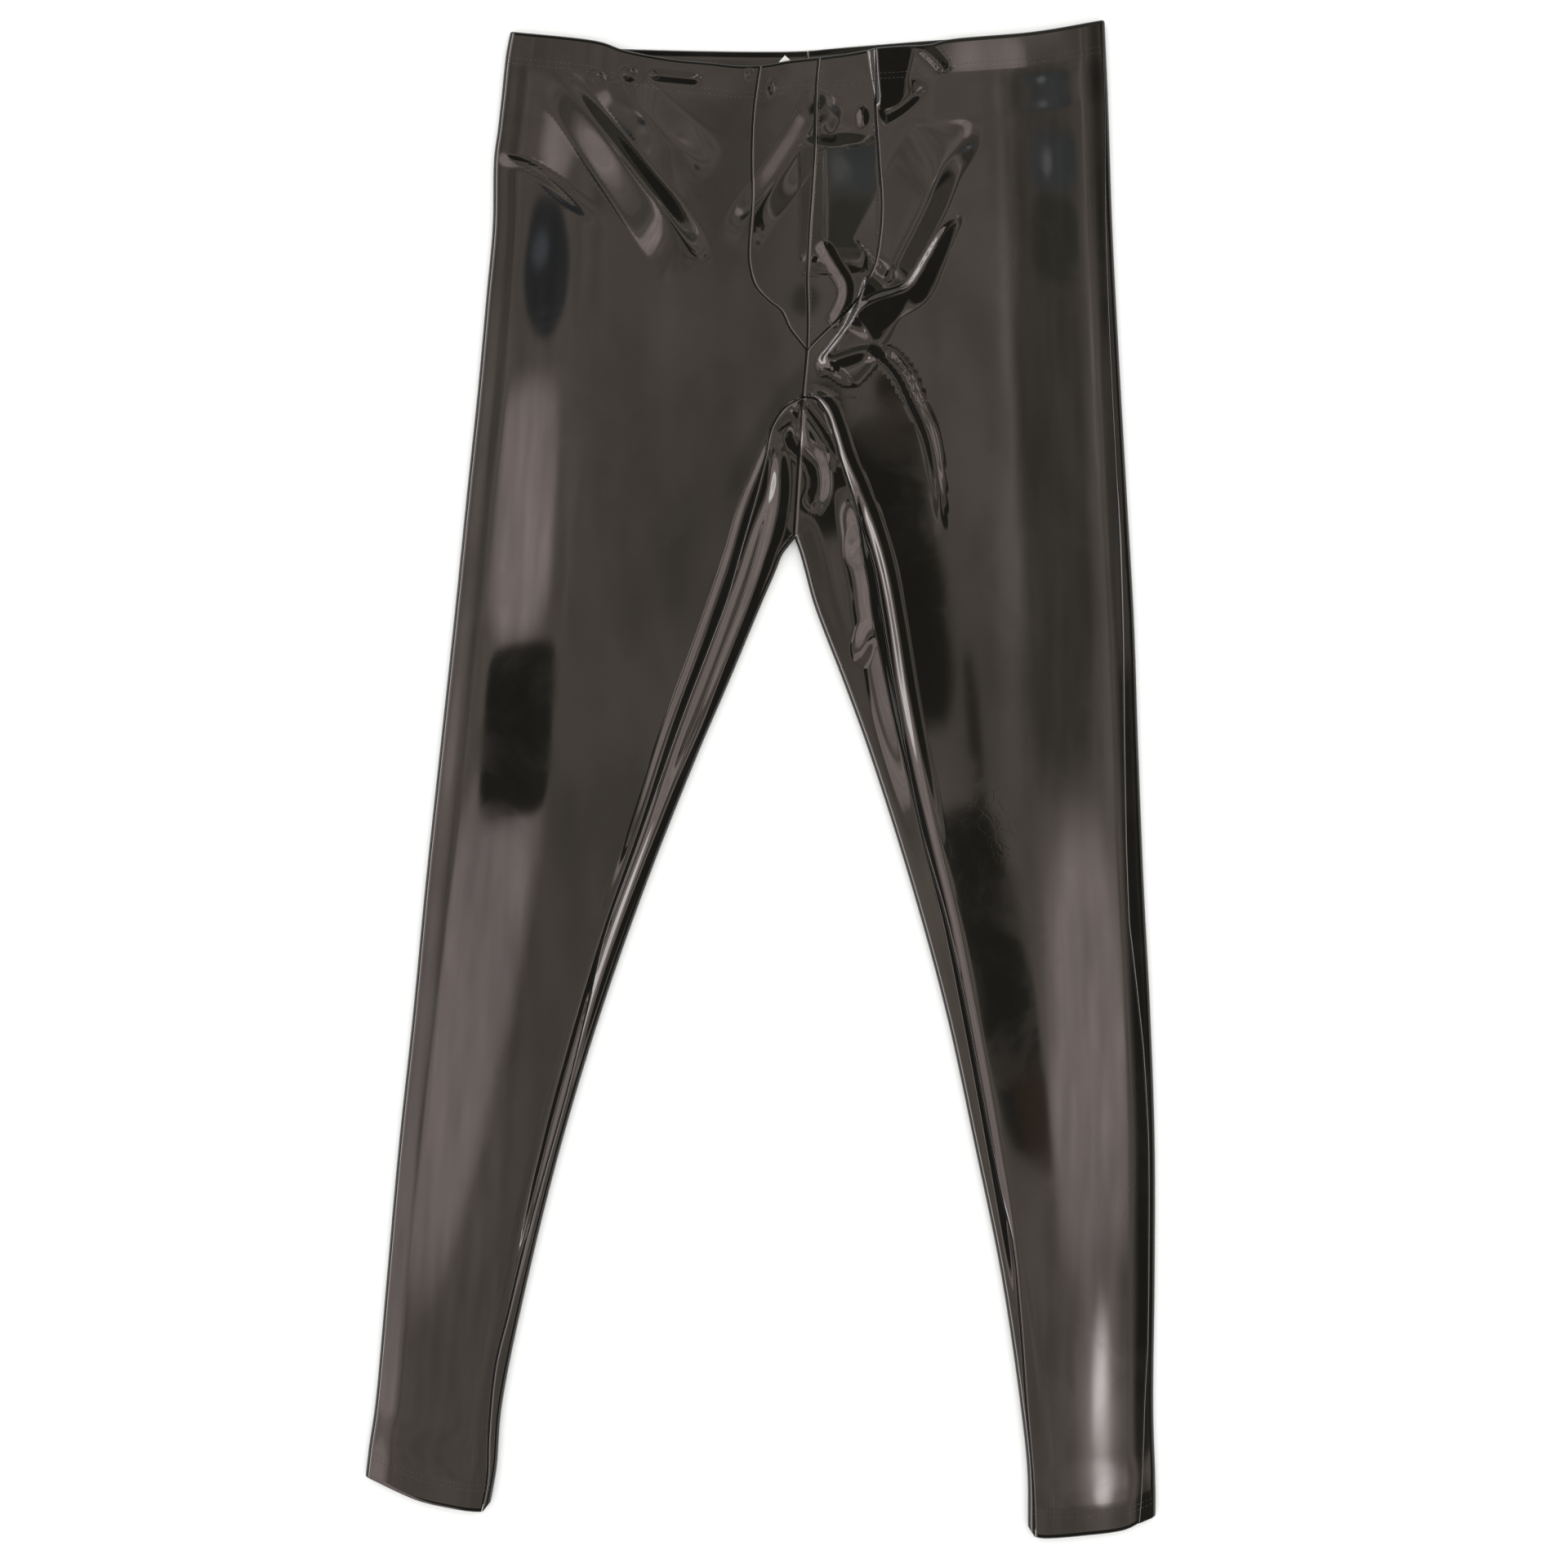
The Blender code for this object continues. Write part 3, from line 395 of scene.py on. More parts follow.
# The folds, each from one end of its line to the other. Columns: rise, left flank, right flank, line
FOLDS: dict[str, Fold] = {
    "pinch": Fold(0.4, 6.6, 7.7, ((-179.6, 418.8), (-158.1, 412.8), (-138.9, 401.2), (-123.5, 388),
        (-109.7, 377.6), (-96.5, 371)), crest=1.5, start=0.1, stop=0.9, taper=0.4),
    "hip_ridge": Fold(1.8, 13.2, 31.9, ((-143.3, 478.8), (-121.3, 453.5), (-102.6, 430.4),
        (-82.8, 405.1), (-66.3, 383.1), (-49.8, 358.9), (-38.8, 341.3)),
        crest=3, fall=1.1, start=0.5, stop=0.35, taper=0.5),
    "hip_fold": Fold(0.95, 20.9, 27.5, ((-99.3, 472.2), (-87.2, 453.5), (-71.8, 438.1),
        (-53.1, 422.7), (-26.7, 407.3)), crest=3, fall=1.05, start=0.4, stop=0.5),
    "casing_groove": Fold(-0.5, 3.3, 5.0, ((-74.5, 473.8), (-41, 470.5)),
        crest=0.8, start=0.15, stop=0.15),
    "pouch_ridge": Fold(1.25, 16.5, 13.2, ((43.7, 463.4), (31.6, 437), (18.4, 415), (4.1, 394.1),
        (-8, 377.6), (-20.1, 354.5)), crest=2.5, fall=1.1, start=0.2, stop=0.5),
    "pouch_front_fold": Fold(0.13, 7.7, 4.4, ((41.5, 442.5), (50.3, 433.7), (61.3, 429.3),
        (71.2, 432.6), (80, 439.2)), crest=0.8, fall=0.7, start=0.12, stop=0.15),
    "pouch_slope": Fold(1.4, 34.1, 17.6, ((42.1, 434.2), (43.2, 387.5), (42.6, 338)),
        fall=1, start=0.1, stop=0.2),
    "pouch_tuck": Fold(1.2, 4.4, 6.1, ((39.9, 361.6), (49.2, 346.2), (56.9, 332.5), (56.4, 321.5),
        (50.3, 309.4), (45.9, 305)), crest=0.8, start=0.15, stop=0.15),
    "flap": Fold(2.2, 28.6, 2.2, ((72.3, 340.7), (65.7, 320.4), (59.7, 307.2), (49.2, 292.3),
        (38.8, 279.7)), crest=0.8, fall=1.2, stop=0.08),
    "casing_patch": Fold(2.6, 11.0, 2.8, ((76.7, 500.8), (78.4, 475.5), (80.6, 449.1)),
        crest=0.8, fall=1.2, start=0.02, stop=0.2, taper=2.7),
    "casing_crease": Fold(0.6, 5.5, 5.0, ((105.3, 493.1), (115.2, 484.3), (124, 474.4)),
        crest=0.8, start=0.2, stop=0.2),
    "casing_band": Fold(-0.9, 12.1, 6.6, ((80, 444.7), (94.3, 453.5), (109.7, 467.8)),
        start=0.1, stop=0.3),
    "s_trough": Fold(1.25, 14.3, 33.0, ((135, 448), (131.7, 428.7), (120.7, 411.7), (110.3, 387.5),
        (96.5, 360), (85.5, 340.7), (74.5, 333.6)), crest=2, fall=1.05, start=0.5, stop=0.15),
    "horn": Fold(1.9, 23.1, 6.1, ((133.9, 380.9), (121.8, 367.1), (110.8, 349), (99.8, 331.4),
        (89.9, 325.9), (80, 322.6), (67.9, 316), (56.9, 303.9)),
        crest=0.8, fall=1.2, start=0.3, stop=0.1, taper=0.2),
    "thigh_crease": Fold(0.8, 4.4, 7.7, ((37.1, 277.5), (53.1, 283), (70.7, 287.9), (85.5, 284.1)),
        crest=0.8, start=0.1, stop=0.2),
    "thigh_trough": Fold(-0.9, 5.5, 6.6, ((121.3, 162), (118, 200.5), (112.5, 230.7),
        (103.1, 252.7), (94.3, 272), (82.2, 285.2), (71.2, 289.6)),
        crest=0.8, fall=1.2, start=0.5, stop=0.12, taper=0.3),
    "right_lip": Fold(0.6, 6.6, 3.9, ((9.6, 237.9), (1.9, 215.9), (-11.3, 182.9), (-21.7, 148.2),
        (-38.8, 98.7), (-63, 32.7), (-82.8, -27.8), (-108.6, -99.3)),
        fall=1.5, start=0.08, stop=0.5),
    "right_groove": Fold(-0.65, 5.0, 5.0, ((10.2, 225.2), (4.1, 195), (-6.3, 167.5),
        (-16.2, 137.2), (-34.4, 86.6), (-58, 24.5), (-77.8, -33.8), (-103.7, -106.4),
        (-124, -173.5), (-143.3, -245), (-160.9, -322), (-170.8, -382.5)),
        crest=2, fall=1.6, start=0.06, stop=0.2),
    "right_roll": Fold(1.2, 8.2, 8.2, ((9.6, 233.5), (11.8, 211.5), (11.3, 186.7), (5.8, 159.8),
        (-6.9, 117.4), (-20.6, 81.7), (-38.8, 33.8), (-54.7, -1.4), (-67.4, -32.7), (-80, -64.1),
        (-93.8, -99.3), (-107, -136.7), (-122.9, -192.8), (-138.9, -252.7), (-155.4, -318.2),
        (-165.8, -377)), crest=4, fall=2, start=0.06, stop=0.5),
    "left_lip": Fold(1.2, 5.5, 5.5, ((28.9, 257.1), (35.5, 258.2), (44.3, 251.6), (50.9, 236.2),
        (56.4, 218.6), (66.3, 195), (76.7, 167.5), (83.9, 141.6), (91, 104.2), (98.7, 57.5),
        (108.6, 8), (122.9, -58)), fall=1.6, start=0.06, stop=0.4),
    "left_groove": Fold(-0.8, 5.5, 5.5, ((59.1, 200.5), (69, 173), (77.8, 145.5), (84.4, 115.2),
        (92.1, 57.5), (102, 8), (115.2, -47), (127.3, -96.5), (140.5, -162.5), (153.7, -234),
        (164.7, -300), (172.4, -366)), fall=1.6, start=0.1, stop=0.15),
    "left_inner_line": Fold(1.5, 3.9, 15.4, ((62.4, 200.5), (65.7, 173), (69, 148.8),
        (72.3, 131.7), (74.5, 112.5), (80, 85), (87.7, 46.5), (99.8, -3), (115.2, -69)),
        fall=1.8, start=0.1, stop=0.5),
    "left_shelf": Fold(0.6, 5.5, 8.8, ((21.7, 255.5), (32.2, 242.8), (42.6, 227.4), (53.1, 207.1)),
        crest=0.8, start=0.1, stop=0.3),
    "crotch_valley": Fold(-1, 8.8, 8.8, ((19.5, 239), (25, 225.2), (37.1, 210.4), (38.8, 195),
        (31.6, 179.6)), crest=2, fall=1.6, start=0.15, stop=0.2),
}

# Columns: rise, across, along, half width, half length, turn
SWELLINGS: dict[str, Swelling] = {
    "dimple_outer": Swelling(-0.25, -110.8, 471.1, 5.0, 5.0),
    "dimple_inner": Swelling(-0.35, -88.8, 473.3, 5.0, 6.1),
    "mark_waist": Swelling(-0.25, -8, 473.8, 2.8, 5.5),
    "mark_below": Swelling(-0.3, 6.9, 463.9, 3.3, 6.6),
    "tear": Swelling(0.8, 67.9, 444.7, 4.4, 8.2),
    "waist_slack": Swelling(0.2, 15.1, 470, 60.5, 33.0),
    "left_dome_high": Swelling(0.6, 64.6, 157.6, 9.9, 17.6, -10),
    "left_dome_low": Swelling(0.6, 69, 91.6, 9.9, 17.6, -10),
}

# Seams that dip, and how deep. Columns: line, depth, half width
SEAM_DIPS = (("right_pouch", 0.15, 1.3), ("left_pouch", 0.15, 1.3), ("centre_front", 0.15, 1.3),
             ("crotch_front", 0.2, 1.5), ("crotch_back", 0.25, 1.8), ("right_inseam", 0.16, 1.4),
             ("left_inseam", 0.16, 1.4))


@dataclass(frozen=True)
class Lay:
    """The top of the garment as it lies: its height over the floor at any place in plan.

    Attributes:
        edge_height: height of the outermost line of a folded edge.
        edge_round: radius of the edge above that line.
        edge_foot: how far in from that line the cloth leaves the floor.
        edge_plump: how much thicker the edge is where the cloth is doubled.
        shoulder_rise: height gained beside a folded edge.
        shoulder_width: over which it is gained.
        crown_rise: height gained towards the middle of a leg.
        crown_width: distance from the outer edge over which it is gained.
        lowest_top: height to which troughs may sink.
        lowest_casing: the same where the cloth is doubled.
        least_room: least depth that a trough always has.
        fold_margin: distance from a folded edge at which folds begin.
        fold_fade: over which they reach their full height.
        double_fade: over which doubled cloth eases to single.
        bow_fade: over which rows stop following the line of the waist or a hem.
        casing: depth of the waist casing.
        hem: depth of an ankle hem.
        ply_margin: how much deeper the turned-in ply is.
        edge_step: length of the straight runs that stand for a folded edge.
        seam_step: the same for a seam.
    """

    edge_height: float = 3.1
    edge_round: float = 3.0
    edge_foot: float = 3.0
    edge_plump: float = 0.15
    shoulder_rise: float = 0.25
    shoulder_width: float = 18.0
    crown_rise: float = 1.1
    crown_width: float = 78.0
    lowest_top: float = 3.0
    lowest_casing: float = 5.6
    least_room: float = 0.01
    fold_margin: float = 2.0
    fold_fade: float = 9.0
    double_fade: float = 34.0
    bow_fade: float = 60.0
    casing: float = 20.0
    hem: float = 18.0
    ply_margin: float = 2.0
    edge_step: float = 1.5
    seam_step: float = 1.0

    def depths(self, plan: np.ndarray) -> tuple[np.ndarray, np.ndarray]:
        """Distances of plan points from the outer and from the inner folded edges.

        Args:
            plan: plan points, one a row.

        Returns:
            Distances from the outer edges, and from the inner ones.
        """
        return tuple(np.min([nearest(plan, PATHS[name].coarse(self.edge_step), self.crown_width)[0]
                             for name in names], axis=0)
                     for names in (("right_outer", "left_outer"), ("right_inner", "left_inner")))

    def doubled(self, plan: np.ndarray) -> np.ndarray:
        """How far the cloth is doubled, at the waist or at a hem.

        Args:
            plan: plan points, one a row.

        Returns:
            1 where it is turned in, easing to 0 past it.
        """
        across, along = plan[:, 0], plan[:, 1]
        below_waist = PATHS["waist_front"].along_at(across) - along
        hem = np.where(across < 0, PATHS["right_hem"].along_at(across),
                       PATHS["left_hem"].along_at(across))
        past_casing = below_waist - self.casing - self.ply_margin
        past_hem = along - hem - self.hem - self.ply_margin
        return np.maximum(1.0 - ease(past_casing / self.double_fade),
                          1.0 - ease(past_hem / self.double_fade))

    def height(self, plan: np.ndarray) -> np.ndarray:
        """Height of the top over the floor.

        Args:
            plan: places in plan; the last axis holds across and along.

        Returns:
            Heights, in the shape of the places.
        """
        shape = plan.shape[:-1]
        plan = plan.reshape(-1, 2)
        outer, inner = self.depths(plan)
        depth = np.minimum(outer, inner)
        double = self.doubled(plan)
        plump = self.edge_plump * double
        radius = self.edge_round + plump
        arc = np.sqrt(np.maximum(radius ** 2 - (radius - np.minimum(depth, radius)) ** 2, 0.0))
        crown = self.crown_rise * (1.0 - (1.0 - outer / self.crown_width) ** 2)
        shoulder = self.shoulder_rise * ease(depth / self.shoulder_width)
        base = self.edge_height + plump + arc + shoulder + crown
        change = sum(fold.lift(plan) for fold in (*FOLDS.values(), *SWELLINGS.values()))
        change = change * ease((depth - self.fold_margin) / self.fold_fade)
        lowest = self.lowest_top + (self.lowest_casing - self.lowest_top) * double
        room = np.maximum(base - lowest, self.least_room)
        sunk = -room * (1.0 - np.exp(np.minimum(change, 0) / room))
        top = base + np.where(change < 0, sunk, change)
        for name, drop, width in SEAM_DIPS:
            gap = nearest(plan, PATHS[name].coarse(self.seam_step), width)[0]
            top = top - drop * (1.0 - ease(gap / width))
        return top.reshape(shape)

    def on_top(self, plan: np.ndarray) -> np.ndarray:
        """Points of the top over plan points."""
        return np.concatenate([plan, self.height(plan)[..., None]], axis=-1)

    def bow_weight(self, runs: np.ndarray, depth: float) -> np.ndarray:
        """How far rows follow the line of a turned edge: 1 over its depth, easing to 0 past it."""
        return 1.0 - ease((runs - depth) / self.bow_fade)


LAY = Lay()


# ---- cloth as closed walls


@dataclass(frozen=True)
class Cloth:
    """The coated knit, and how its edges are turned in.

    Attributes:
        wall: thickness in mm.
        seam_gap: space between two pieces at a seam.
        side_seam_gap: the same at the side seams.
        crotch_gap: from the crotch point to the first row of a seam.
        turn_radius: radius of a turned edge, at the outer face.
        turn_angles: degrees from the outer face to the rows round a turned edge.
        ply_rows: rows of the ply inside a turned edge.
        ply_search: rows of the outer face within which that ply ends.
        plain_rows: rows of a turned edge above its stitches.
        stitch_above: height of the band of close rows above the depth of the edge.
        stitch_below: the same below it.
        stitch_step: from one close row to the next.
    """

    wall: float = 1.0
    seam_gap: float = 0.3
    side_seam_gap: float = 0.4
    crotch_gap: float = 0.8
    turn_radius: float = 1.45
    turn_angles: tuple[float, ...] = (157.5, 135.0, 112.5, 90.0, 67.5, 45.0, 22.5)
    ply_rows: int = 6
    ply_search: int = 40
    plain_rows: int = 8
    stitch_above: float = 5.5
    stitch_below: float = 1.6
    stitch_step: float = 0.5


CLOTH = Cloth()


def run_steps(start: float, stop: float, first: float, last: float) -> np.ndarray:
    """Runs in steps that grow evenly.

    Args:
        start: first run.
        stop: last run.
        first: about the length of the first step.
        last: about the length of the last step.

    Returns:
        The runs.
    """
    count = max(1, round((stop - start) / ((first + last) / 2)))
    weights = np.linspace(first, last, count)
    return start + np.concatenate([[0.0], np.cumsum(weights)]) / weights.sum() * (stop - start)


def casing_runs(depth: float, first: float) -> np.ndarray:
    """Runs of the rows on a turned edge, which are closer at its stitches.

    Args:
        depth: of the turned edge.
        first: run of the first row.

    Returns:
        The runs, from the edge in.
    """
    band = depth - CLOTH.stitch_above
    plain = np.linspace(first, band, CLOTH.plain_rows + 1)[:-1]
    return np.concatenate([plain, np.arange(band, depth + CLOTH.stitch_below, CLOTH.stitch_step)])


def grid_normals(points: np.ndarray) -> np.ndarray:
    """Unit normals of a grid of points, to the side that sees its columns run clockwise."""
    return unit(np.cross(np.gradient(points, axis=0), np.gradient(points, axis=1)))


def turn_in(points: np.ndarray, normals: np.ndarray, depth: float) -> tuple[np.ndarray, np.ndarray]:
    """Adds the fold of a turned edge before the first row, and the ply inside it.

    Args:
        points: outer face, whose first row is the edge.
        normals: its normals.
        depth: how far in the inner ply reaches.

    Returns:
        Points and normals with the new rows in front.
    """
    radius = CLOTH.turn_radius
    middle = points[:CLOTH.ply_search, points.shape[1] // 2]
    last = int(np.searchsorted(np.linalg.norm(middle - middle[0], axis=-1), depth))
    kept = np.unique(np.linspace(0, last, CLOTH.ply_rows).astype(int))[::-1]
    tangent = points[0] - points[2]
    tangent = unit(tangent - normals[0] * (tangent * normals[0]).sum(-1, keepdims=True))
    rows = [points[index] - normals[index] * 2 * radius for index in kept]
    faces = [-normals[index] for index in kept]
    for angle in np.radians(CLOTH.turn_angles):
        facing = normals[0] * math.cos(angle) + tangent * math.sin(angle)
        rows.append(points[0] - normals[0] * radius + facing * radius)
        faces.append(facing)
    return np.concatenate([np.array(rows), points]), np.concatenate([np.array(faces), normals])


def turn_in_both(points: np.ndarray, normals: np.ndarray) -> tuple[np.ndarray, np.ndarray]:
    """Adds the turned edges at both ends of a panel, which are the casing and the hem.

    Args:
        points: outer face, from the waist to the hem.
        normals: its normals.

    Returns:
        Points and normals with the new rows at both ends.
    """
    points, normals = turn_in(points, normals, LAY.casing + LAY.ply_margin)
    points, normals = turn_in(points[::-1], normals[::-1], LAY.hem + LAY.ply_margin)
    return points[::-1], normals[::-1]


@dataclass
class Piece:
    """One cut piece as a closed wall, before it is an object.

    Attributes:
        name: of its object.
        node: the CAD node that it stands for.
        points: grid of its outer face, in mm.
        normals: outward normals there.
    """

    name: str
    node: str
    points: np.ndarray
    normals: np.ndarray

    def area(self) -> float:
        """Area of the outer face in square metres."""
        edges = np.diff(self.points, axis=0)[:, :-1], np.diff(self.points, axis=1)[:-1]
        return float(np.linalg.norm(np.cross(*edges), axis=-1).sum()) * MM * MM

    def object(self, gloss: bpy.types.Material, knit: bpy.types.Material) -> bpy.types.Object:
        """Builds the closed wall.

        Args:
            gloss: finish of the outer face.
            knit: finish of the inner face.

        Returns:
            The object, at the origin.
        """
        rows, columns = self.points.shape[:2]
        inner = self.points - self.normals * CLOTH.wall
        corners = np.concatenate([self.points.reshape(-1, 3), inner.reshape(-1, 3)]) * MM
        back = rows * columns
        index = np.arange(back).reshape(rows, columns)
        ring = np.stack([index[:-1, :-1], index[:-1, 1:], index[1:, 1:], index[1:, :-1]], axis=-1)
        outer_faces = ring.reshape(-1, 4)[:, ::-1]
        inner_faces = outer_faces[:, ::-1] + back
        edge = np.concatenate([index[0, :-1], index[:-1, -1], index[-1, :0:-1], index[:0:-1, 0]])
        following = np.roll(edge, -1)
        rim = np.stack([edge, following, following + back, edge + back], axis=-1)
        faces = np.concatenate([outer_faces, inner_faces, rim])
        mesh = bpy.data.meshes.new(self.name)
        mesh.from_pydata(corners.tolist(), [], faces.tolist())
        mesh.materials.append(gloss)
        mesh.materials.append(knit)
        kinds = np.full(len(faces), Grain.GLOSS.value, np.int32)
        kinds[len(outer_faces):len(outer_faces) + len(inner_faces)] = Grain.KNIT.value
        mesh.polygons.foreach_set("material_index", kinds)
        mesh.polygons.foreach_set("use_smooth", np.arange(len(faces)) < len(faces) - len(rim))
        thing = bpy.data.objects.new(self.name, mesh)
        bpy.context.scene.collection.objects.link(thing)
        return thing


def faced(points: np.ndarray, outside: np.ndarray) -> np.ndarray:
    """Normals of a grid, turned to the side that its outside vectors point to."""
    normals = grid_normals(points)
    return normals * np.sign((normals * outside).sum())


UPWARD = np.array([0.0, 0.0, 1.0])
DOWNWARD = np.array([0.0, 0.0, -1.0])


class PanelLines:
    """The lines of one leg's panels.

    Attributes:
        sign: -1 for the right leg and 1 for the left.
        name: right or left.
        outer: outer folded edge.
        inner: inner folded edge.
        inseam: seam inside the leg.
        pouch: seam between the front panel and the pouch.
        hem: edge of the ankle.
        EVENED_ROWS: rows to each side over which the ends of rows are evened out.
        HEM_APPROACH: from the last plain row of the inseam to the hem.
        CROTCH_STEP: about the first step between the rows of the inseam.
        ANKLE_STEP: about the last one.
    """

    EVENED_ROWS = 12
    HEM_APPROACH = 3.0
    CROTCH_STEP = 1.4
    ANKLE_STEP = 4.2

    def __init__(self, leg: Leg) -> None:
        """Looks up the leg's curves.

        Args:
            leg: which leg.
        """
        self.sign = leg.value
        self.name = leg.name.lower()
        self.outer = PATHS[self.name + "_outer"]
        self.inner = PATHS[self.name + "_inner"]
        self.inseam = PATHS[self.name + "_inseam"]
        self.pouch = PATHS[self.name + "_pouch"]
        self.hem = PATHS[self.name + "_hem"]

    def side_seam(self, run: np.ndarray, gap: float) -> np.ndarray:
        """Edge of a piece at the side seam.

        Args:
            run: runs along the outer edge.
            gap: how far in from the seam it lies.

        Returns:
            Plan points.
        """
        along, inset = np.array(sorted(SIDE_SEAM_INSET[self.name])).T
        place = self.outer.at(run)
        away = np.interp(place[..., 1], along, inset) + gap
        return place - self.sign * self.outer.normal(run) * np.asarray(away)[..., None]

    def side_runs(self, runs: np.ndarray, ends: tuple) -> np.ndarray:
        """Where rows of an inner seam reach the side seam.

        Args:
            runs: runs of the rows at the inner seam.
            ends: table of matching runs.

        Returns:
            Runs along the outer edge.
        """
        keys = np.array(ends + ((runs[-1], self.outer.length - CLOTH.turn_radius),), float)
        matched = np.interp(runs, *keys.T)
        padded = np.pad(matched, self.EVENED_ROWS, mode="reflect", reflect_type="odd")
        window = 2 * self.EVENED_ROWS + 1
        evened = np.convolve(padded, np.ones(window) / window, mode="valid")
        high = runs < LAY.casing
        evened[high] = np.maximum(runs, CLOTH.turn_radius)[high]
        low = runs > runs[-1] - LAY.hem - LAY.ply_margin
        evened[low] = keys[-1, 1] - (runs[-1] - runs[low])
        return np.maximum.accumulate(evened)

    def inseam_runs(self, first: float) -> np.ndarray:
        """Runs of the rows along the inseam.

        Args:
            first: run of the first row below the crotch.

        Returns:
            The runs, to the edge of the hem.
        """
        stop = self.inseam.length - CLOTH.turn_radius
        return np.concatenate([run_steps(first, stop - LAY.hem - self.HEM_APPROACH,
                                         self.CROTCH_STEP, self.ANKLE_STEP),
                               stop - casing_runs(LAY.hem, 0.0)[::-1]])


def bowed(points: np.ndarray, line: Path, row: int, weight: np.ndarray) -> None:
    """Bends the rows at one end of a grid so that its last row follows the edge's line.

    Args:
        points: the grid, whose places along the garment change.
        line: the waist or hem line.
        row: index of the edge's row.
        weight: how far each row follows, from 1 at the edge to 0.
    """
    start, stop = points[row, 0, 0], points[row, -1, 0]
    low, high = line.along_at(start), line.along_at(stop)
    across = points[row, :, 0]
    chord = low + (high - low) * (across - start) / (stop - start)
    points[..., 1] += (line.along_at(across) - chord)[None, :] * weight[:, None]


@dataclass
class FrontPanel:
    """Half of the front, from the waist to the hem and from the side seam to the pouch.

    Attributes:
        leg: which leg.
        side_steps: places of its columns from the side seam, in mm.
        inner_steps: places of its columns from the inner seam.
        middle: columns between the two.
        pouch_steps: first and last step between the rows along the pouch seam.
        crotch_step: step between the rows along the crotch seam.
        below_casing: from the casing to the next row.
        above_tip: from the last row to the tip of the pouch.
        below_crotch: from the crotch to the next row.
    """

    leg: Leg
    side_steps: tuple[float, ...] = (0, 0.3, 0.6, 1.0, 1.5, 2.1, 2.9, 4.0, 5.5, 7.5, 10)
    inner_steps: tuple[float, ...] = (0, 0.3, 0.6, 1.0, 1.4, 1.9, 2.5, 3.2, 4.2, 5.4, 6.8, 8.4, 10.2,
                                      12.2, 14.4)
    middle: int = 58
    pouch_steps: tuple[float, float] = (2.2, 1.4)
    crotch_step: float = 1.4
    below_casing: float = 2.5
    above_tip: float = 1.0
    below_crotch: float = 1.0

    def inner_line(self, lines: PanelLines) -> tuple[np.ndarray, np.ndarray]:
        """The inner edge: pouch seam, crotch seam and inseam.

        Args:
            lines: the leg's curves.

        Returns:
            Its points, and their runs.
        """
        gap = lines.sign * CLOTH.seam_gap / 2
        pouch_runs = np.concatenate([casing_runs(LAY.casing, CLOTH.turn_radius),
                                     run_steps(LAY.casing + self.below_casing,
                                               lines.pouch.length - self.above_tip,
                                               *self.pouch_steps)])
        crotch = PATHS["crotch_front"]
        crotch_runs = run_steps(CLOTH.crotch_gap, crotch.length - CLOTH.crotch_gap,
                                self.crotch_step, self.crotch_step)
        inseam_runs = lines.inseam_runs(self.below_crotch)
        points = np.concatenate([lines.pouch.beside(pouch_runs, gap), crotch.beside(crotch_runs, gap),
                                 lines.inseam.beside(inseam_runs, gap)])
        runs = np.concatenate([pouch_runs, lines.pouch.length + crotch_runs,
                               lines.pouch.length + crotch.length + inseam_runs])
        return points, runs

    def build(self) -> Piece:
        """The panel with its casing and hem turned in.

        Returns:
            The piece.
        """
        lines = PanelLines(self.leg)
        inner, runs = self.inner_line(lines)
        outer = lines.side_seam(lines.side_runs(runs, FRONT_ROW_ENDS), CLOTH.side_seam_gap / 2)
        width = np.linalg.norm(inner - outer, axis=1)[:, None]
        low = np.array(self.side_steps)[None] / width
        high = 1.0 - np.array(self.inner_steps)[None, ::-1] / width
        share = np.linspace(0, 1, self.middle + 2)[None, 1:-1]
        between = low[:, -1:] + (high[:, :1] - low[:, -1:]) * share
        share = np.concatenate([low, between, high], axis=1)[..., None]
        plan = outer[:, None] + (inner - outer)[:, None] * share
        bowed(plan, PATHS["waist_front"], 0, LAY.bow_weight(runs, LAY.casing))
        bowed(plan, lines.hem, -1, LAY.bow_weight(runs[-1] - runs, LAY.hem))
        points = LAY.on_top(plan)
        normals = faced(points, UPWARD)
        points, normals = turn_in_both(points, normals)
        return Piece(f"vinyl_front_{lines.name}", f"front_panel_{lines.name}",
                     *oriented(points, normals))


def oriented(points: np.ndarray, normals: np.ndarray) -> tuple[np.ndarray, np.ndarray]:
    """Turns the order of a grid's columns so that its faces look out along the normals.

    Args:
        points: the grid.
        normals: its normals.

    Returns:
        Both, in the order that they need.
    """
    if (grid_normals(points) * normals).sum() < 0:
        return points[:, ::-1], normals[:, ::-1]
    return points, normals


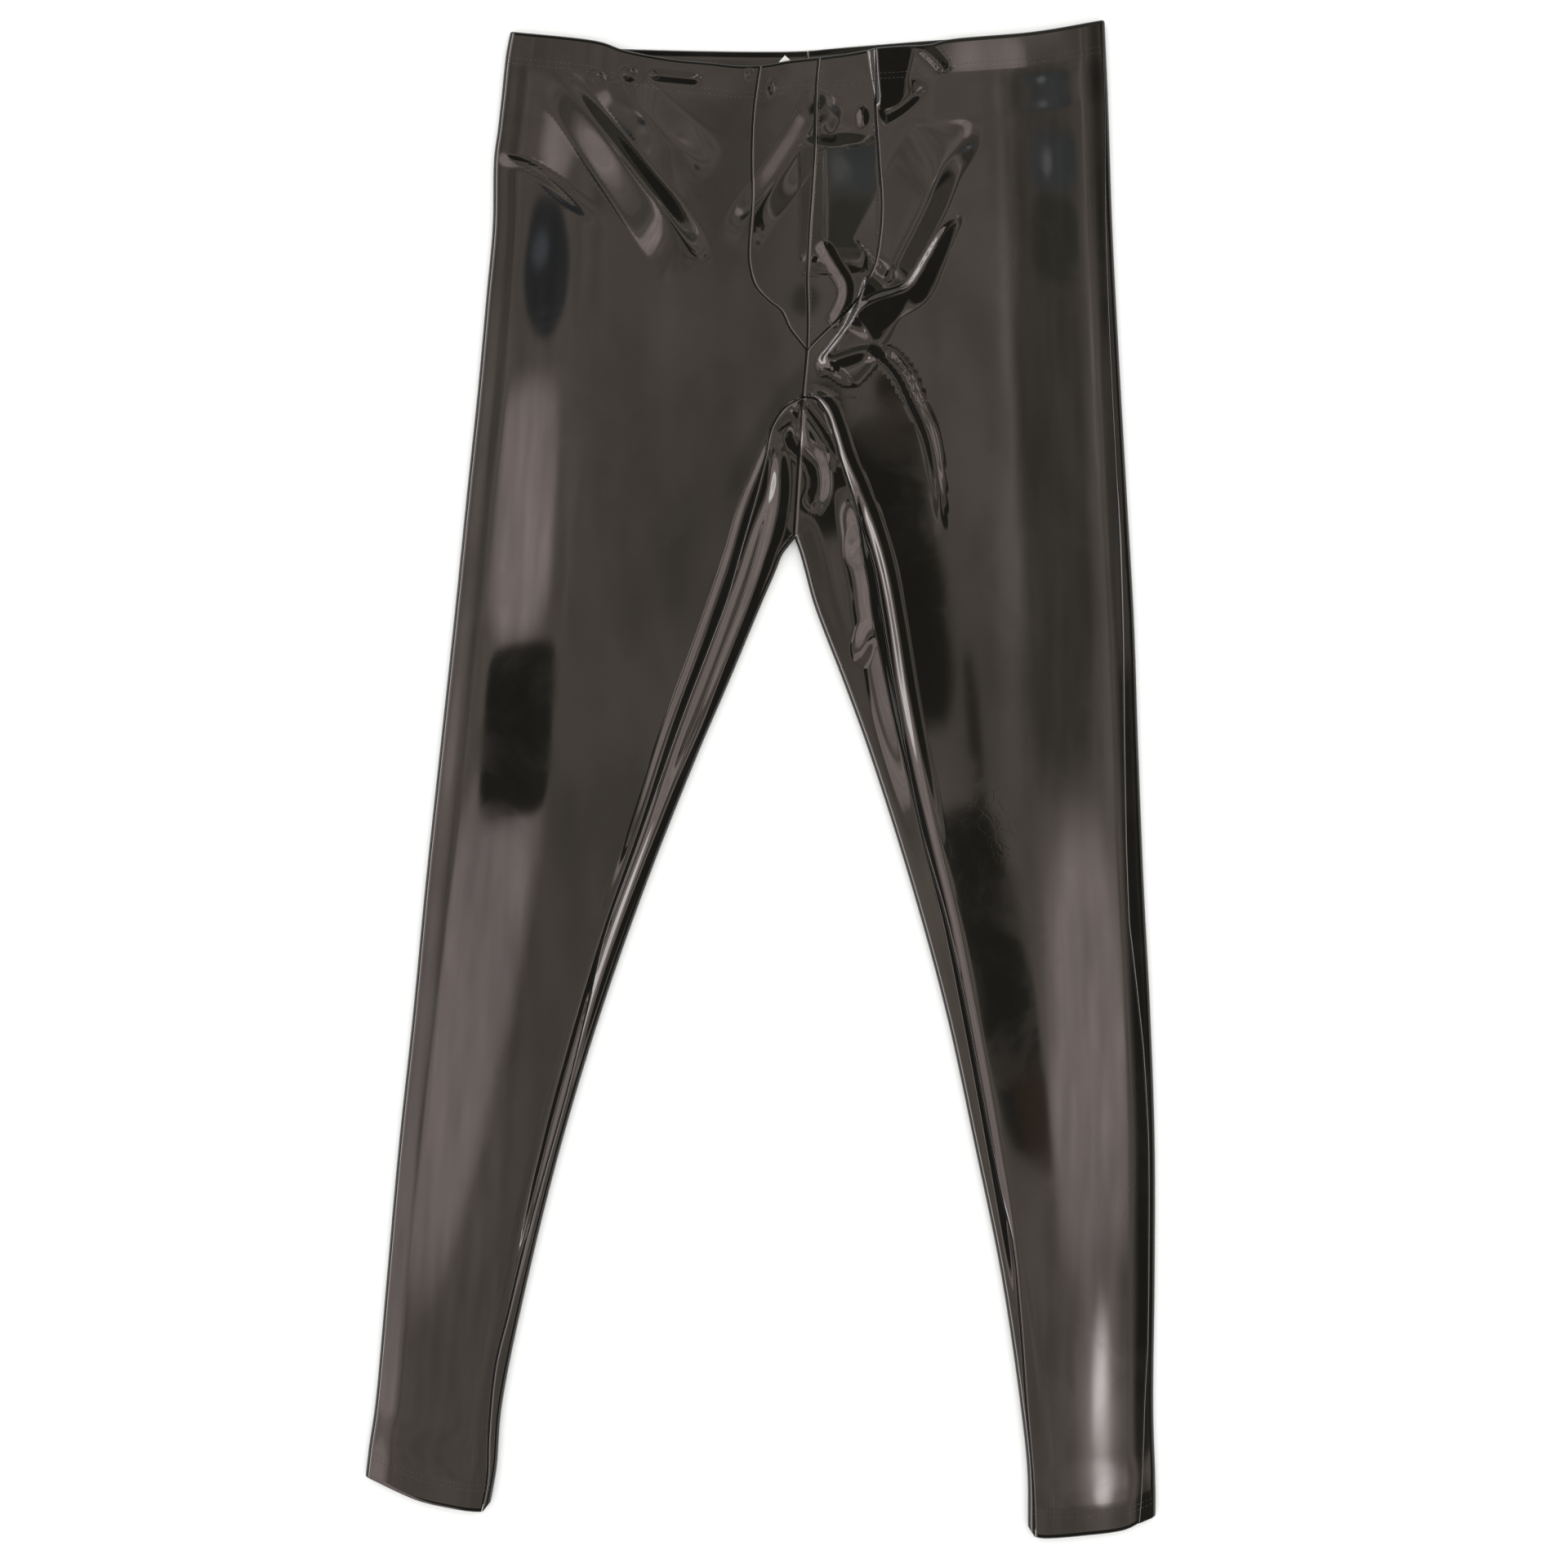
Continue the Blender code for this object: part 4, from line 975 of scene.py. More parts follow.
@dataclass
class PouchHalf:
    """Half of the pouch, from its seam with the front panel to the centre-front seam.

    Attributes:
        leg: the half on which leg's side.
        rows: rows below the casing.
        columns: columns of its grid.
        crowded: how far its columns crowd towards the seams, from 0 to 1.
        below_casing: from the casing to the next row.
        above_tip: from the last row to the tip.
    """

    leg: Leg
    rows: int = 150
    columns: int = 44
    crowded: float = 0.55
    below_casing: float = 2.5
    above_tip: float = 0.3

    def runs(self, line: Path) -> np.ndarray:
        """Runs of the rows along a seam of the pouch.

        Args:
            line: the seam.

        Returns:
            The runs, from the waist's edge to the tip.
        """
        return np.concatenate([casing_runs(LAY.casing, CLOTH.turn_radius),
                               np.linspace(LAY.casing + self.below_casing,
                                           line.length - self.above_tip, self.rows)])

    def build(self) -> Piece:
        """The pouch half with its casing turned in.

        Returns:
            The piece.
        """
        lines = PanelLines(self.leg)
        gap = lines.sign * CLOTH.seam_gap / 2
        centre = PATHS["centre_front"]
        outer = lines.pouch.beside(self.runs(lines.pouch), -gap)
        inner = centre.beside(self.runs(centre), gap)
        even = np.linspace(0, 1, self.columns)
        crowd = (1.0 - np.cos(np.linspace(0, math.pi, self.columns))) / 2
        share = self.crowded * crowd + (1.0 - self.crowded) * even
        plan = outer[:, None] + (inner - outer)[:, None] * share[None, :, None]
        bowed(plan, PATHS["waist_front"], 0, LAY.bow_weight(self.runs(centre), LAY.casing))
        points = LAY.on_top(plan)
        normals = faced(points, UPWARD)
        points, normals = turn_in(points, normals, LAY.casing + LAY.ply_margin)
        return Piece(f"vinyl_pouch_{lines.name}", f"pouch_{lines.name}", *oriented(points, normals))


@dataclass
class Row:
    """One row of a back panel while it is laid out, from its inner seam to the side seam.

    Attributes:
        plan: places in plan.
        rise: heights, and not a number where the place lies on the top.
        step: how long a column may be at each place.
    """

    plan: np.ndarray
    rise: np.ndarray
    step: np.ndarray

    def turned(self) -> Row:
        """The row from its other end."""
        return Row(self.plan[::-1], self.rise[::-1], self.step[::-1])

    @staticmethod
    def joined(parts: tuple[Row, ...]) -> Row:
        """One row of several stretches."""
        return Row(*(np.concatenate([getattr(part, name) for part in parts])
                     for name in ("plan", "rise", "step")))


@dataclass
class BackPanel:
    """Half of the back: on the floor, round the folded edges and up to the front's seams.

    Attributes:
        leg: which leg.
        columns: columns of its grid.
        floor_step: length of a column on the floor.
        foot_step: the same where the cloth leaves the floor.
        edge_step: the same round an edge.
        top_step: the same on the top.
        foot_width: how far from its ends a stretch on the floor has close columns.
        floor_points: points that lay out a stretch on the floor.
        edge_points: the same for the lower half of an edge.
        top_points: the same for a stretch on the top.
        top_crowding: power by which those crowd towards the edge.
        edge_start: how far in from an edge a stretch on the top starts.
        least_top: least length of such a stretch.
        apex_angles: degrees by which the rows round the apex of the crotch have turned up.
        apex_points: points that lay out such a row.
        apex_length: run of the rows there, past the end of the floor.
        below_casing: from the casing to the next row.
        seam_steps: first and last step between the rows along the centre-back seam.
        top_steps: the same along the crotch seam.
        below_crotch: from the crotch to the next row of the inseam.
        floor_rise: height under which a point lies on the floor.
        low_share: share of the height of an edge under which its cloth faces down.
    """

    leg: Leg
    columns: int = 98
    floor_step: float = 11.0
    foot_step: float = 2.0
    edge_step: float = 0.7
    top_step: float = 1.1
    foot_width: float = 10.0
    floor_points: int = 38
    edge_points: int = 19
    top_points: int = 64
    top_crowding: float = 1.7
    edge_start: float = 0.12
    least_top: float = 0.2
    apex_angles: tuple[float, ...] = (75, 60, 45, 30, 15, 5)
    apex_points: int = 13
    apex_length: float = 4.8
    below_casing: float = 4.0
    seam_steps: tuple[float, float] = (5.0, 2.0)
    top_steps: tuple[float, float] = (0.9, 2.0)
    below_crotch: float = 0.8
    floor_rise: float = 0.02
    low_share: float = 0.8

    def low_edge(self, place: np.ndarray, inward: np.ndarray) -> Row:
        """Lower half of a folded edge, from the floor up to its outermost line.

        Args:
            place: plan point of the edge.
            inward: unit vector into the leg.

        Returns:
            The stretch of a row.
        """
        plump = LAY.edge_plump * LAY.doubled(place[None])[0]
        angles = np.radians(np.linspace(90, 0, self.edge_points))
        reach = (LAY.edge_foot + plump) * (1.0 - np.cos(angles))
        rise = (LAY.edge_height + plump) * (1.0 - np.sin(angles))
        return Row(place + inward * reach[:, None], rise, np.full(len(angles), self.edge_step))

    def top_stretch(self, start: np.ndarray, stop: np.ndarray) -> Row:
        """A stretch on the top, from a folded edge in to a seam.

        Args:
            start: plan point on the edge.
            stop: plan point of the seam.

        Returns:
            The stretch of a row.
        """
        run = max(math.dist(start, stop), self.edge_start + self.least_top)
        share = np.linspace(0.0, 1.0, self.top_points) ** self.top_crowding
        reach = self.edge_start + (run - self.edge_start) * share
        plan = start + unit(stop - start) * reach[:, None]
        step = np.where(reach > LAY.edge_round + 1.0, self.top_step, self.edge_step)
        return Row(plan, np.full(len(reach), np.nan), step)

    def floor_stretch(self, start: np.ndarray, stop: np.ndarray) -> Row:
        """A stretch that lies on the floor.

        Args:
            start: plan point before it.
            stop: plan point after it.

        Returns:
            The stretch of a row.
        """
        share = np.linspace(0.0, 1.0, self.floor_points + 2)[1:-1]
        plan = start + (stop - start) * share[:, None]
        run = np.minimum(share, 1.0 - share) * math.dist(start, stop)
        step = np.where(run < self.foot_width, self.foot_step, self.floor_step)
        return Row(plan, np.zeros(len(share)), step)

    def apex_row(self, lines: PanelLines, angle: float) -> Row:
        """A row that turns up round the apex of the crotch, where the inner edge starts.

        Args:
            lines: the leg's curves.
            angle: radians still to turn from the floor to the outermost line.

        Returns:
            The stretch of the row beside the centre-back seam.
        """
        apex = lines.inner.at(0.0) + np.array([lines.sign * CLOTH.seam_gap / 2, 0.0])
        across = lines.sign * lines.inner.normal(0.0)
        share = np.linspace(0, 1, self.apex_points)
        turn = math.atan2(across[0], across[1]) * (1.0 - angle / (math.pi / 2)) * share
        tilt = angle + (math.pi / 2 - angle) * share
        heading = np.column_stack([np.sin(turn), np.cos(turn)])
        return Row(apex + heading * LAY.edge_foot * (1 - np.cos(tilt))[:, None],
                   LAY.edge_height * (1 - np.sin(tilt)), np.full(len(share), self.edge_step))

    def rows(self, lines: PanelLines) -> tuple[list[Row], np.ndarray]:
        """Lays out the first stretch of every row, from the waist to the hem.

        Args:
            lines: the leg's curves.

        Returns:
            The stretches, and their runs at the inner seams.
        """
        gap = CLOTH.seam_gap / 2
        seam, top = PATHS["centre_back"], PATHS["crotch_back"]
        floor_end = seam.length - LAY.edge_foot
        first: list[Row] = []
        runs: list[float] = []
        for run in [*casing_runs(LAY.casing, CLOTH.turn_radius),
                    *run_steps(LAY.casing + self.below_casing, floor_end, *self.seam_steps)]:
            place = seam.beside(run, lines.sign * gap)
            first.append(Row(place[None], np.zeros(1), np.full(1, self.floor_step)))
            runs.append(run)
        for angle in np.radians(self.apex_angles):
            first.append(self.apex_row(lines, angle))
            runs.append(floor_end + LAY.edge_height * (1 - math.sin(angle)))
        turned = floor_end + self.apex_length
        top_runs = run_steps(CLOTH.crotch_gap, top.length - CLOTH.crotch_gap, *self.top_steps)
        inseam_runs = lines.inseam_runs(self.below_crotch)
        keys = np.array(INNER_EDGE_ROWS
                        + ((lines.inseam.length, lines.inner.length - CLOTH.turn_radius),), float)
        starts = [(top.beside(run, -lines.sign * gap),
                   INNER_EDGE_ROWS[0][1] * math.sqrt(run / top.length), turned + run)
                  for run in top_runs]
        edge_runs = np.interp(inseam_runs, *keys.T)
        starts += [(lines.inseam.beside(run, -lines.sign * gap), edge_run, turned + top.length + run)
                   for run, edge_run in zip(inseam_runs, edge_runs)]
        for start, edge_run, run in starts:
            place = lines.inner.at(edge_run)
            low = self.low_edge(place, lines.sign * lines.inner.normal(edge_run))
            first.append(Row.joined((self.top_stretch(place, start).turned(), low.turned())))
            runs.append(run)
        return first, np.array(runs)

    def grid(self, rows: list[Row]) -> np.ndarray:
        """Lifts the rows to the top where they lie on it, and spaces their columns.

        Args:
            rows: the rows, laid out in plan.

        Returns:
            Points of the panel's outer face.
        """
        plan = np.concatenate([row.plan for row in rows])
        rise = np.concatenate([row.rise for row in rows])
        on_top = np.isnan(rise)
        rise[on_top] = LAY.height(plan[on_top])
        grid, start = [], 0
        for row in rows:
            stop = start + len(row.plan)
            points = np.column_stack([plan[start:stop], rise[start:stop]])
            weight = np.linalg.norm(np.diff(points, axis=0), axis=1) / row.step[1:]
            passed = np.concatenate([[0.0], np.cumsum(weight)])
            wanted = np.linspace(0, passed[-1], self.columns)
            grid.append(np.stack([np.interp(wanted, passed, values) for values in points.T], axis=1))
            start = stop
        return np.array(grid)

    def normals(self, points: np.ndarray) -> np.ndarray:
        """Outward normals, straight down on the floor and never up on the lower half of an edge.

        Args:
            points: the panel's outer face.

        Returns:
            A normal for each point.
        """
        normals = grid_normals(points)
        flat = points[..., 2] < self.floor_rise
        normals *= np.sign(-(normals[flat][:, 2]).sum())
        normals[flat] = DOWNWARD
        low = points[..., 2] < self.low_share * LAY.edge_height
        normals[low & (normals[..., 2] > 0.0)] *= -1.0
        return normals

    def build(self) -> Piece:
        """The panel with its casing and hem turned in.

        Returns:
            The piece.
        """
        lines = PanelLines(self.leg)
        first, runs = self.rows(lines)
        side_runs = lines.side_runs(runs, BACK_ROW_ENDS)
        rows: list[Row] = []
        for start, side_run in zip(first, side_runs):
            place = lines.outer.at(side_run)
            inward = -lines.sign * lines.outer.normal(side_run)
            low = self.low_edge(place, inward)
            up = self.top_stretch(place, lines.side_seam(side_run, -CLOTH.side_seam_gap / 2))
            floor = self.floor_stretch(start.plan[-1], low.plan[0])
            rows.append(Row.joined((start, floor, low, up)))
        points = self.grid(rows)
        bowed(points, PATHS["waist_back"], 0, LAY.bow_weight(runs, LAY.casing))
        bowed(points, lines.hem, -1, LAY.bow_weight(runs[-1] - runs, LAY.hem))
        points, normals = turn_in_both(points, self.normals(points))
        return Piece(f"vinyl_back_{lines.name}", f"back_panel_{lines.name}",
                     *oriented(points, normals))


# ---- stitches, by Geometry Nodes


@dataclass(frozen=True)
class Thread:
    """How a row of stitches is sewn, in metres.

    Attributes:
        pitch: from one stitch to the next.
        length: of a stitch.
        thickness: of the thread.
        lean: radians that a stitch may lean to either side.
        seed: of the small differences between stitches.
    """

    pitch: float = 0.0029
    length: float = 0.0024
    thickness: float = 0.00042
    lean: float = 0.07
    seed: int = 7


class StitchTree:
    """Geometry Nodes that lay stitches along the edges of a mesh of lines.

    Attributes:
        tree: the node tree.
    """

    def __init__(self) -> None:
        """Builds the tree."""
        tree = bpy.data.node_groups.new("stitches", "GeometryNodeTree")
        self.tree = tree
        sockets = {"Geometry": "Geometry", "Pitch": "Float", "Length": "Float",
                   "Thickness": "Float", "Lean": "Float", "Seed": "Int", "Thread": "Material"}
        for name, kind in sockets.items():
            tree.interface.new_socket(name, in_out="INPUT", socket_type=f"NodeSocket{kind}")
        tree.interface.new_socket("Geometry", in_out="OUTPUT", socket_type="NodeSocketGeometry")
        kit = NodeKit(tree)
        given = kit.node("NodeGroupInput")
        line = kit.node("GeometryNodeMeshToCurve", Mesh=given.outputs["Geometry"])
        spaced = kit.node("GeometryNodeResampleCurve", {"mode": "LENGTH"},
                          Curve=line.outputs["Curve"], Length=given.outputs["Pitch"])
        ball = kit.node("GeometryNodeMeshUVSphere", Segments=6, Rings=4, Radius=0.5)
        size = kit.node("ShaderNodeCombineXYZ", X=given.outputs["Length"],
                        Y=given.outputs["Thickness"], Z=given.outputs["Thickness"])
        stitch = kit.node("GeometryNodeTransform", Geometry=ball.outputs["Mesh"],
                          Scale=size.outputs["Vector"])
        tangent = kit.node("GeometryNodeInputTangent")
        along = kit.node("FunctionNodeAlignRotationToVector", {"axis": "X"},
                         Vector=tangent.outputs["Tangent"])
        facing = kit.node("GeometryNodeInputNamedAttribute", {"data_type": "FLOAT_VECTOR"},
                          Name="facing")
        upright = kit.node("FunctionNodeAlignRotationToVector",
                           {"axis": "Z", "pivot_axis": "X"},
                           Rotation=along.outputs["Rotation"], Vector=facing.outputs["Attribute"])
        placed = kit.node("GeometryNodeInstanceOnPoints", Points=spaced.outputs["Curve"],
                          Instance=stitch.outputs["Geometry"], Rotation=upright.outputs["Rotation"])
        lean = kit.node("FunctionNodeRandomValue", {"data_type": "FLOAT"},
                        Seed=given.outputs["Seed"])
        kit.feed(lean.inputs[2], kit.math("MULTIPLY", given.outputs["Lean"], -1.0))
        kit.feed(lean.inputs[3], given.outputs["Lean"])
        spin = kit.node("ShaderNodeCombineXYZ", Z=lean.outputs[1])
        turned = kit.node("GeometryNodeRotateInstances", Instances=placed.outputs["Instances"],
                          Rotation=spin.outputs["Vector"])
        solid = kit.node("GeometryNodeRealizeInstances", Geometry=turned.outputs["Instances"])
        smooth = kit.node("GeometryNodeSetShadeSmooth", Geometry=solid.outputs["Geometry"])
        dressed = kit.node("GeometryNodeSetMaterial", Geometry=smooth.outputs["Geometry"],
                           Material=given.outputs["Thread"])
        result = kit.node("NodeGroupOutput")
        tree.links.new(dressed.outputs["Geometry"], result.inputs["Geometry"])

    def sew(self, name: str, rows: list[tuple[np.ndarray, np.ndarray]], thread: Thread,
            material: bpy.types.Material) -> bpy.types.Object:
        """Sews rows of stitches.

        Args:
            name: of the piece.
            rows: points in mm and normals of each row.
            thread: how it is sewn.
            material: finish of the thread.

        Returns:
            The stitches as one mesh.
        """
        points = np.concatenate([row[0] for row in rows]) * MM
        facing = np.concatenate([row[1] for row in rows])
        edges, start = [], 0
        for row, _ in rows:
            edges += [(index, index + 1) for index in range(start, start + len(row) - 1)]
            start += len(row)
        mesh = bpy.data.meshes.new(name + "_lines")
        mesh.from_pydata(points.tolist(), edges, [])
        mesh.attributes.new("facing", "FLOAT_VECTOR", "POINT").data.foreach_set(
            "vector", facing.astype(np.float32).ravel())
        thing = bpy.data.objects.new(name, mesh)
        bpy.context.scene.collection.objects.link(thing)
        modifier = thing.modifiers.new("stitches", "NODES")
        modifier.node_group = self.tree
        values = {"Pitch": thread.pitch, "Length": thread.length, "Thickness": thread.thickness,
                  "Lean": thread.lean, "Seed": thread.seed, "Thread": material}
        for item in self.tree.interface.items_tree:
            if item.in_out == "INPUT" and item.name in values:
                modifier[item.identifier] = values[item.name]
        bpy.context.view_layer.update()
        seen = thing.evaluated_get(bpy.context.evaluated_depsgraph_get())
        result = bpy.data.meshes.new_from_object(seen)
        thing.modifiers.remove(modifier)
        thing.data = result
        result.name = name
        return thing


@dataclass(frozen=True)
class Sewing:
    """Where the rows of stitches run, in mm.

    Attributes:
        casing_rows: depths of the casing's twin rows below the waist.
        hem_rows: heights of a hem's twin rows above its edge.
        sink: how deep a stitch lies in the cloth.
        step: distance between the points of a row.
        probe: distance to each side at which the slope of the cloth is measured.
        right_end: from the right outer edge to the end of a casing row on the front.
        left_end: the same at the left outer edge.
        hem_end: from an edge of the leg to the end of a hem row on the front.
        back_casing: how much further in a casing row ends on the back.
        back_hem: the same for a hem row.
        pouch_start: from the waist to the start of a row beside a seam of the pouch.
        centre_row: distance of a row from the centre-front seam, and from its end to the tip.
        left_row: the same beside the left pouch seam.
    """

    casing_rows: tuple[float, float] = (17.6, 21.2)
    hem_rows: tuple[float, float] = (15.2, 18.8)
    sink: float = 0.05
    step: float = 1.0
    probe: float = 0.4
    right_end: float = 3.0
    left_end: float = 4.0
    hem_end: float = 3.5
    back_casing: float = 3.0
    back_hem: float = 2.0
    pouch_start: float = 4.0
    centre_row: tuple[float, float] = (2.2, 6.0)
    left_row: tuple[float, float] = (-2.0, 8.0)

    def top(self, plan: np.ndarray) -> tuple[np.ndarray, np.ndarray]:
        """Row on the top of the garment.

        Args:
            plan: its plan points.

        Returns:
            Its points and normals.
        """
        points = LAY.on_top(plan)
        slope = []
        for shift in np.eye(2) * self.probe:
            rise = LAY.height(plan + shift) - LAY.height(plan - shift)
            slope.append(-rise / (2 * self.probe))
        normals = unit(np.stack([*slope, np.ones(len(plan))], axis=-1))
        return points - normals * self.sink, normals

    def under(self, plan: np.ndarray) -> tuple[np.ndarray, np.ndarray]:
        """Row on the underside over plan points, and its normals."""
        points = np.column_stack([plan, np.full(len(plan), self.sink)])
        return points, np.tile(DOWNWARD, (len(plan), 1))

    def across(self, line: Path, start: float, stop: float, shift: float) -> np.ndarray:
        """Plan points of a row from start to stop, shifted along the garment from an edge's line."""
        across = np.arange(start, stop, self.step)
        return np.column_stack([across, line.along_at(across) + shift])

    def casing(self) -> list[tuple[np.ndarray, np.ndarray]]:
        """Twin rows of the waist casing, on the front and on the back.

        Returns:
            Points and normals of each row.
        """
        result = []
        for depth in self.casing_rows:
            right = PATHS["right_outer"].at(depth)[0] + self.right_end
            left = PATHS["left_outer"].at(depth)[0] - self.left_end
            result.append(self.top(self.across(PATHS["waist_front"], right, left, -depth)))
            result.append(self.under(self.across(PATHS["waist_back"], right + self.back_casing,
                                                 left - self.back_casing, -depth)))
        return result

    def hem(self, leg: Leg) -> list[tuple[np.ndarray, np.ndarray]]:
        """Twin rows of one hem, on the front and on the back.

        Args:
            leg: which leg.

        Returns:
            Points and normals of each row.
        """
        lines = PanelLines(leg)
        result = []
        for depth in self.hem_rows:
            ends = sorted((lines.outer.at(lines.outer.length - depth)[0],
                           lines.inner.at(lines.inner.length - depth)[0]))
            low, high = ends[0] + self.hem_end, ends[1] - self.hem_end
            result.append(self.top(self.across(lines.hem, low, high, depth)))
            result.append(self.under(self.across(lines.hem, low + self.back_hem,
                                                 high - self.back_hem, depth)))
        return result

    def pouch(self) -> list[tuple[np.ndarray, np.ndarray]]:
        """Rows of topstitches beside the centre-front seam and the left pouch seam.

        Returns:
            Points and normals of each row.
        """
        result = []
        for name, (distance, end) in (("centre_front", self.centre_row), ("left_pouch", self.left_row)):
            seam = PATHS[name]
            runs = np.arange(self.pouch_start, seam.length - end, self.step)
            result.append(self.top(seam.beside(runs, distance)))
        return result


# ---- finishes


class NodeKit:
    """Adds nodes to a tree and links them in one step.

    Attributes:
        tree: the node tree.
    """

    def __init__(self, tree: bpy.types.NodeTree) -> None:
        """Keeps the tree."""
        self.tree = tree

    def node(self, kind: str, settings: dict[str, object] | None = None, **inputs) -> bpy.types.Node:
        """Adds a node.

        Args:
            kind: its type.
            settings: properties of the node.
            **inputs: a socket to link, or a value, for inputs by name, with _ for a space.

        Returns:
            The node.
        """
        node = self.tree.nodes.new(kind)
        for name, value in (settings or {}).items():
            setattr(node, name, value)
        for name, value in inputs.items():
            socket = node.inputs[name.replace("_", " ")]
            self.feed(socket, value)
        return node

    def feed(self, socket: Socket, value: object) -> None:
        """Links a socket to an output, or sets its value.

        Args:
            socket: an input.
            value: an output socket, or a value.
        """
        if isinstance(value, Socket):
            self.tree.links.new(value, socket)
        else:
            socket.default_value = value

    def math(self, operation: str, *values: object) -> Socket:
        """Result of a Math node.

        Args:
            operation: what it does.
            *values: numbers or sockets.

        Returns:
            Its output.
        """
        node = self.tree.nodes.new("ShaderNodeMath")
        node.operation = operation
        for socket, value in zip(node.inputs, values):
            self.feed(socket, value)
        return node.outputs[0]

    def ramp(self, value: object, low: float, high: float, start: float = 0.0,
             stop: float = 1.0) -> Socket:
        """Eases a value from one range into another.

        Args:
            value: the value.
            low: where its range starts.
            high: where its range ends.
            start: result at low and under it.
            stop: result at high and over it.

        Returns:
            The result.
        """
        node = self.node("ShaderNodeMapRange", {"interpolation_type": "SMOOTHSTEP"}, Value=value,
                         From_Min=low, From_Max=high, To_Min=start, To_Max=stop)
        return node.outputs[0]

    def mixed(self, share: object, first: object, second: object) -> Socket:
        """Mix of two colours.

        Args:
            share: of the second colour.
            first: red, green and blue, or a socket.
            second: the same.

        Returns:
            The colour.
        """
        node = self.tree.nodes.new("ShaderNodeMix")
        node.data_type = "RGBA"
        self.feed(node.inputs[0], share)
        for socket, colour in ((node.inputs[6], first), (node.inputs[7], second)):
            self.feed(socket, (*colour, 1.0) if isinstance(colour, tuple) else colour)
        return node.outputs[2]

    def noise(self, place: object, scale: float, detail: float, roughness: float = 0.5,
              distortion: float = 0.0) -> Socket:
        """Noise at a place.

        Args:
            place: the place.
            scale: how fine the noise is.
            detail: its octaves.
            roughness: weight of the finer octaves.
            distortion: how far it is warped.

        Returns:
            A value from 0 to 1.
        """
        node = self.node("ShaderNodeTexNoise", Vector=place, Scale=scale, Detail=detail,
                         Roughness=roughness, Distortion=distortion)
        return node.outputs["Fac"]


def shader_group(name: str, inputs: tuple[str, ...], outputs: tuple[str, ...]
                 ) -> tuple[bpy.types.NodeTree, NodeKit, bpy.types.Node, bpy.types.Node]:
    """Starts a shader node group.

    Args:
        name: of the group.
        inputs: names of its number inputs; Place is a vector.
        outputs: names of its outputs.

    Returns:
        The group, its kit, its input node and its output node.
    """
    tree = bpy.data.node_groups.new(name, "ShaderNodeTree")
    for title in inputs:
        kind = "NodeSocketVector" if title == "Place" else "NodeSocketFloat"
        tree.interface.new_socket(title, in_out="INPUT", socket_type=kind)
    for title in outputs:
        tree.interface.new_socket(title, in_out="OUTPUT", socket_type="NodeSocketFloat")
    kit = NodeKit(tree)
    return tree, kit, kit.node("NodeGroupInput"), kit.node("NodeGroupOutput")


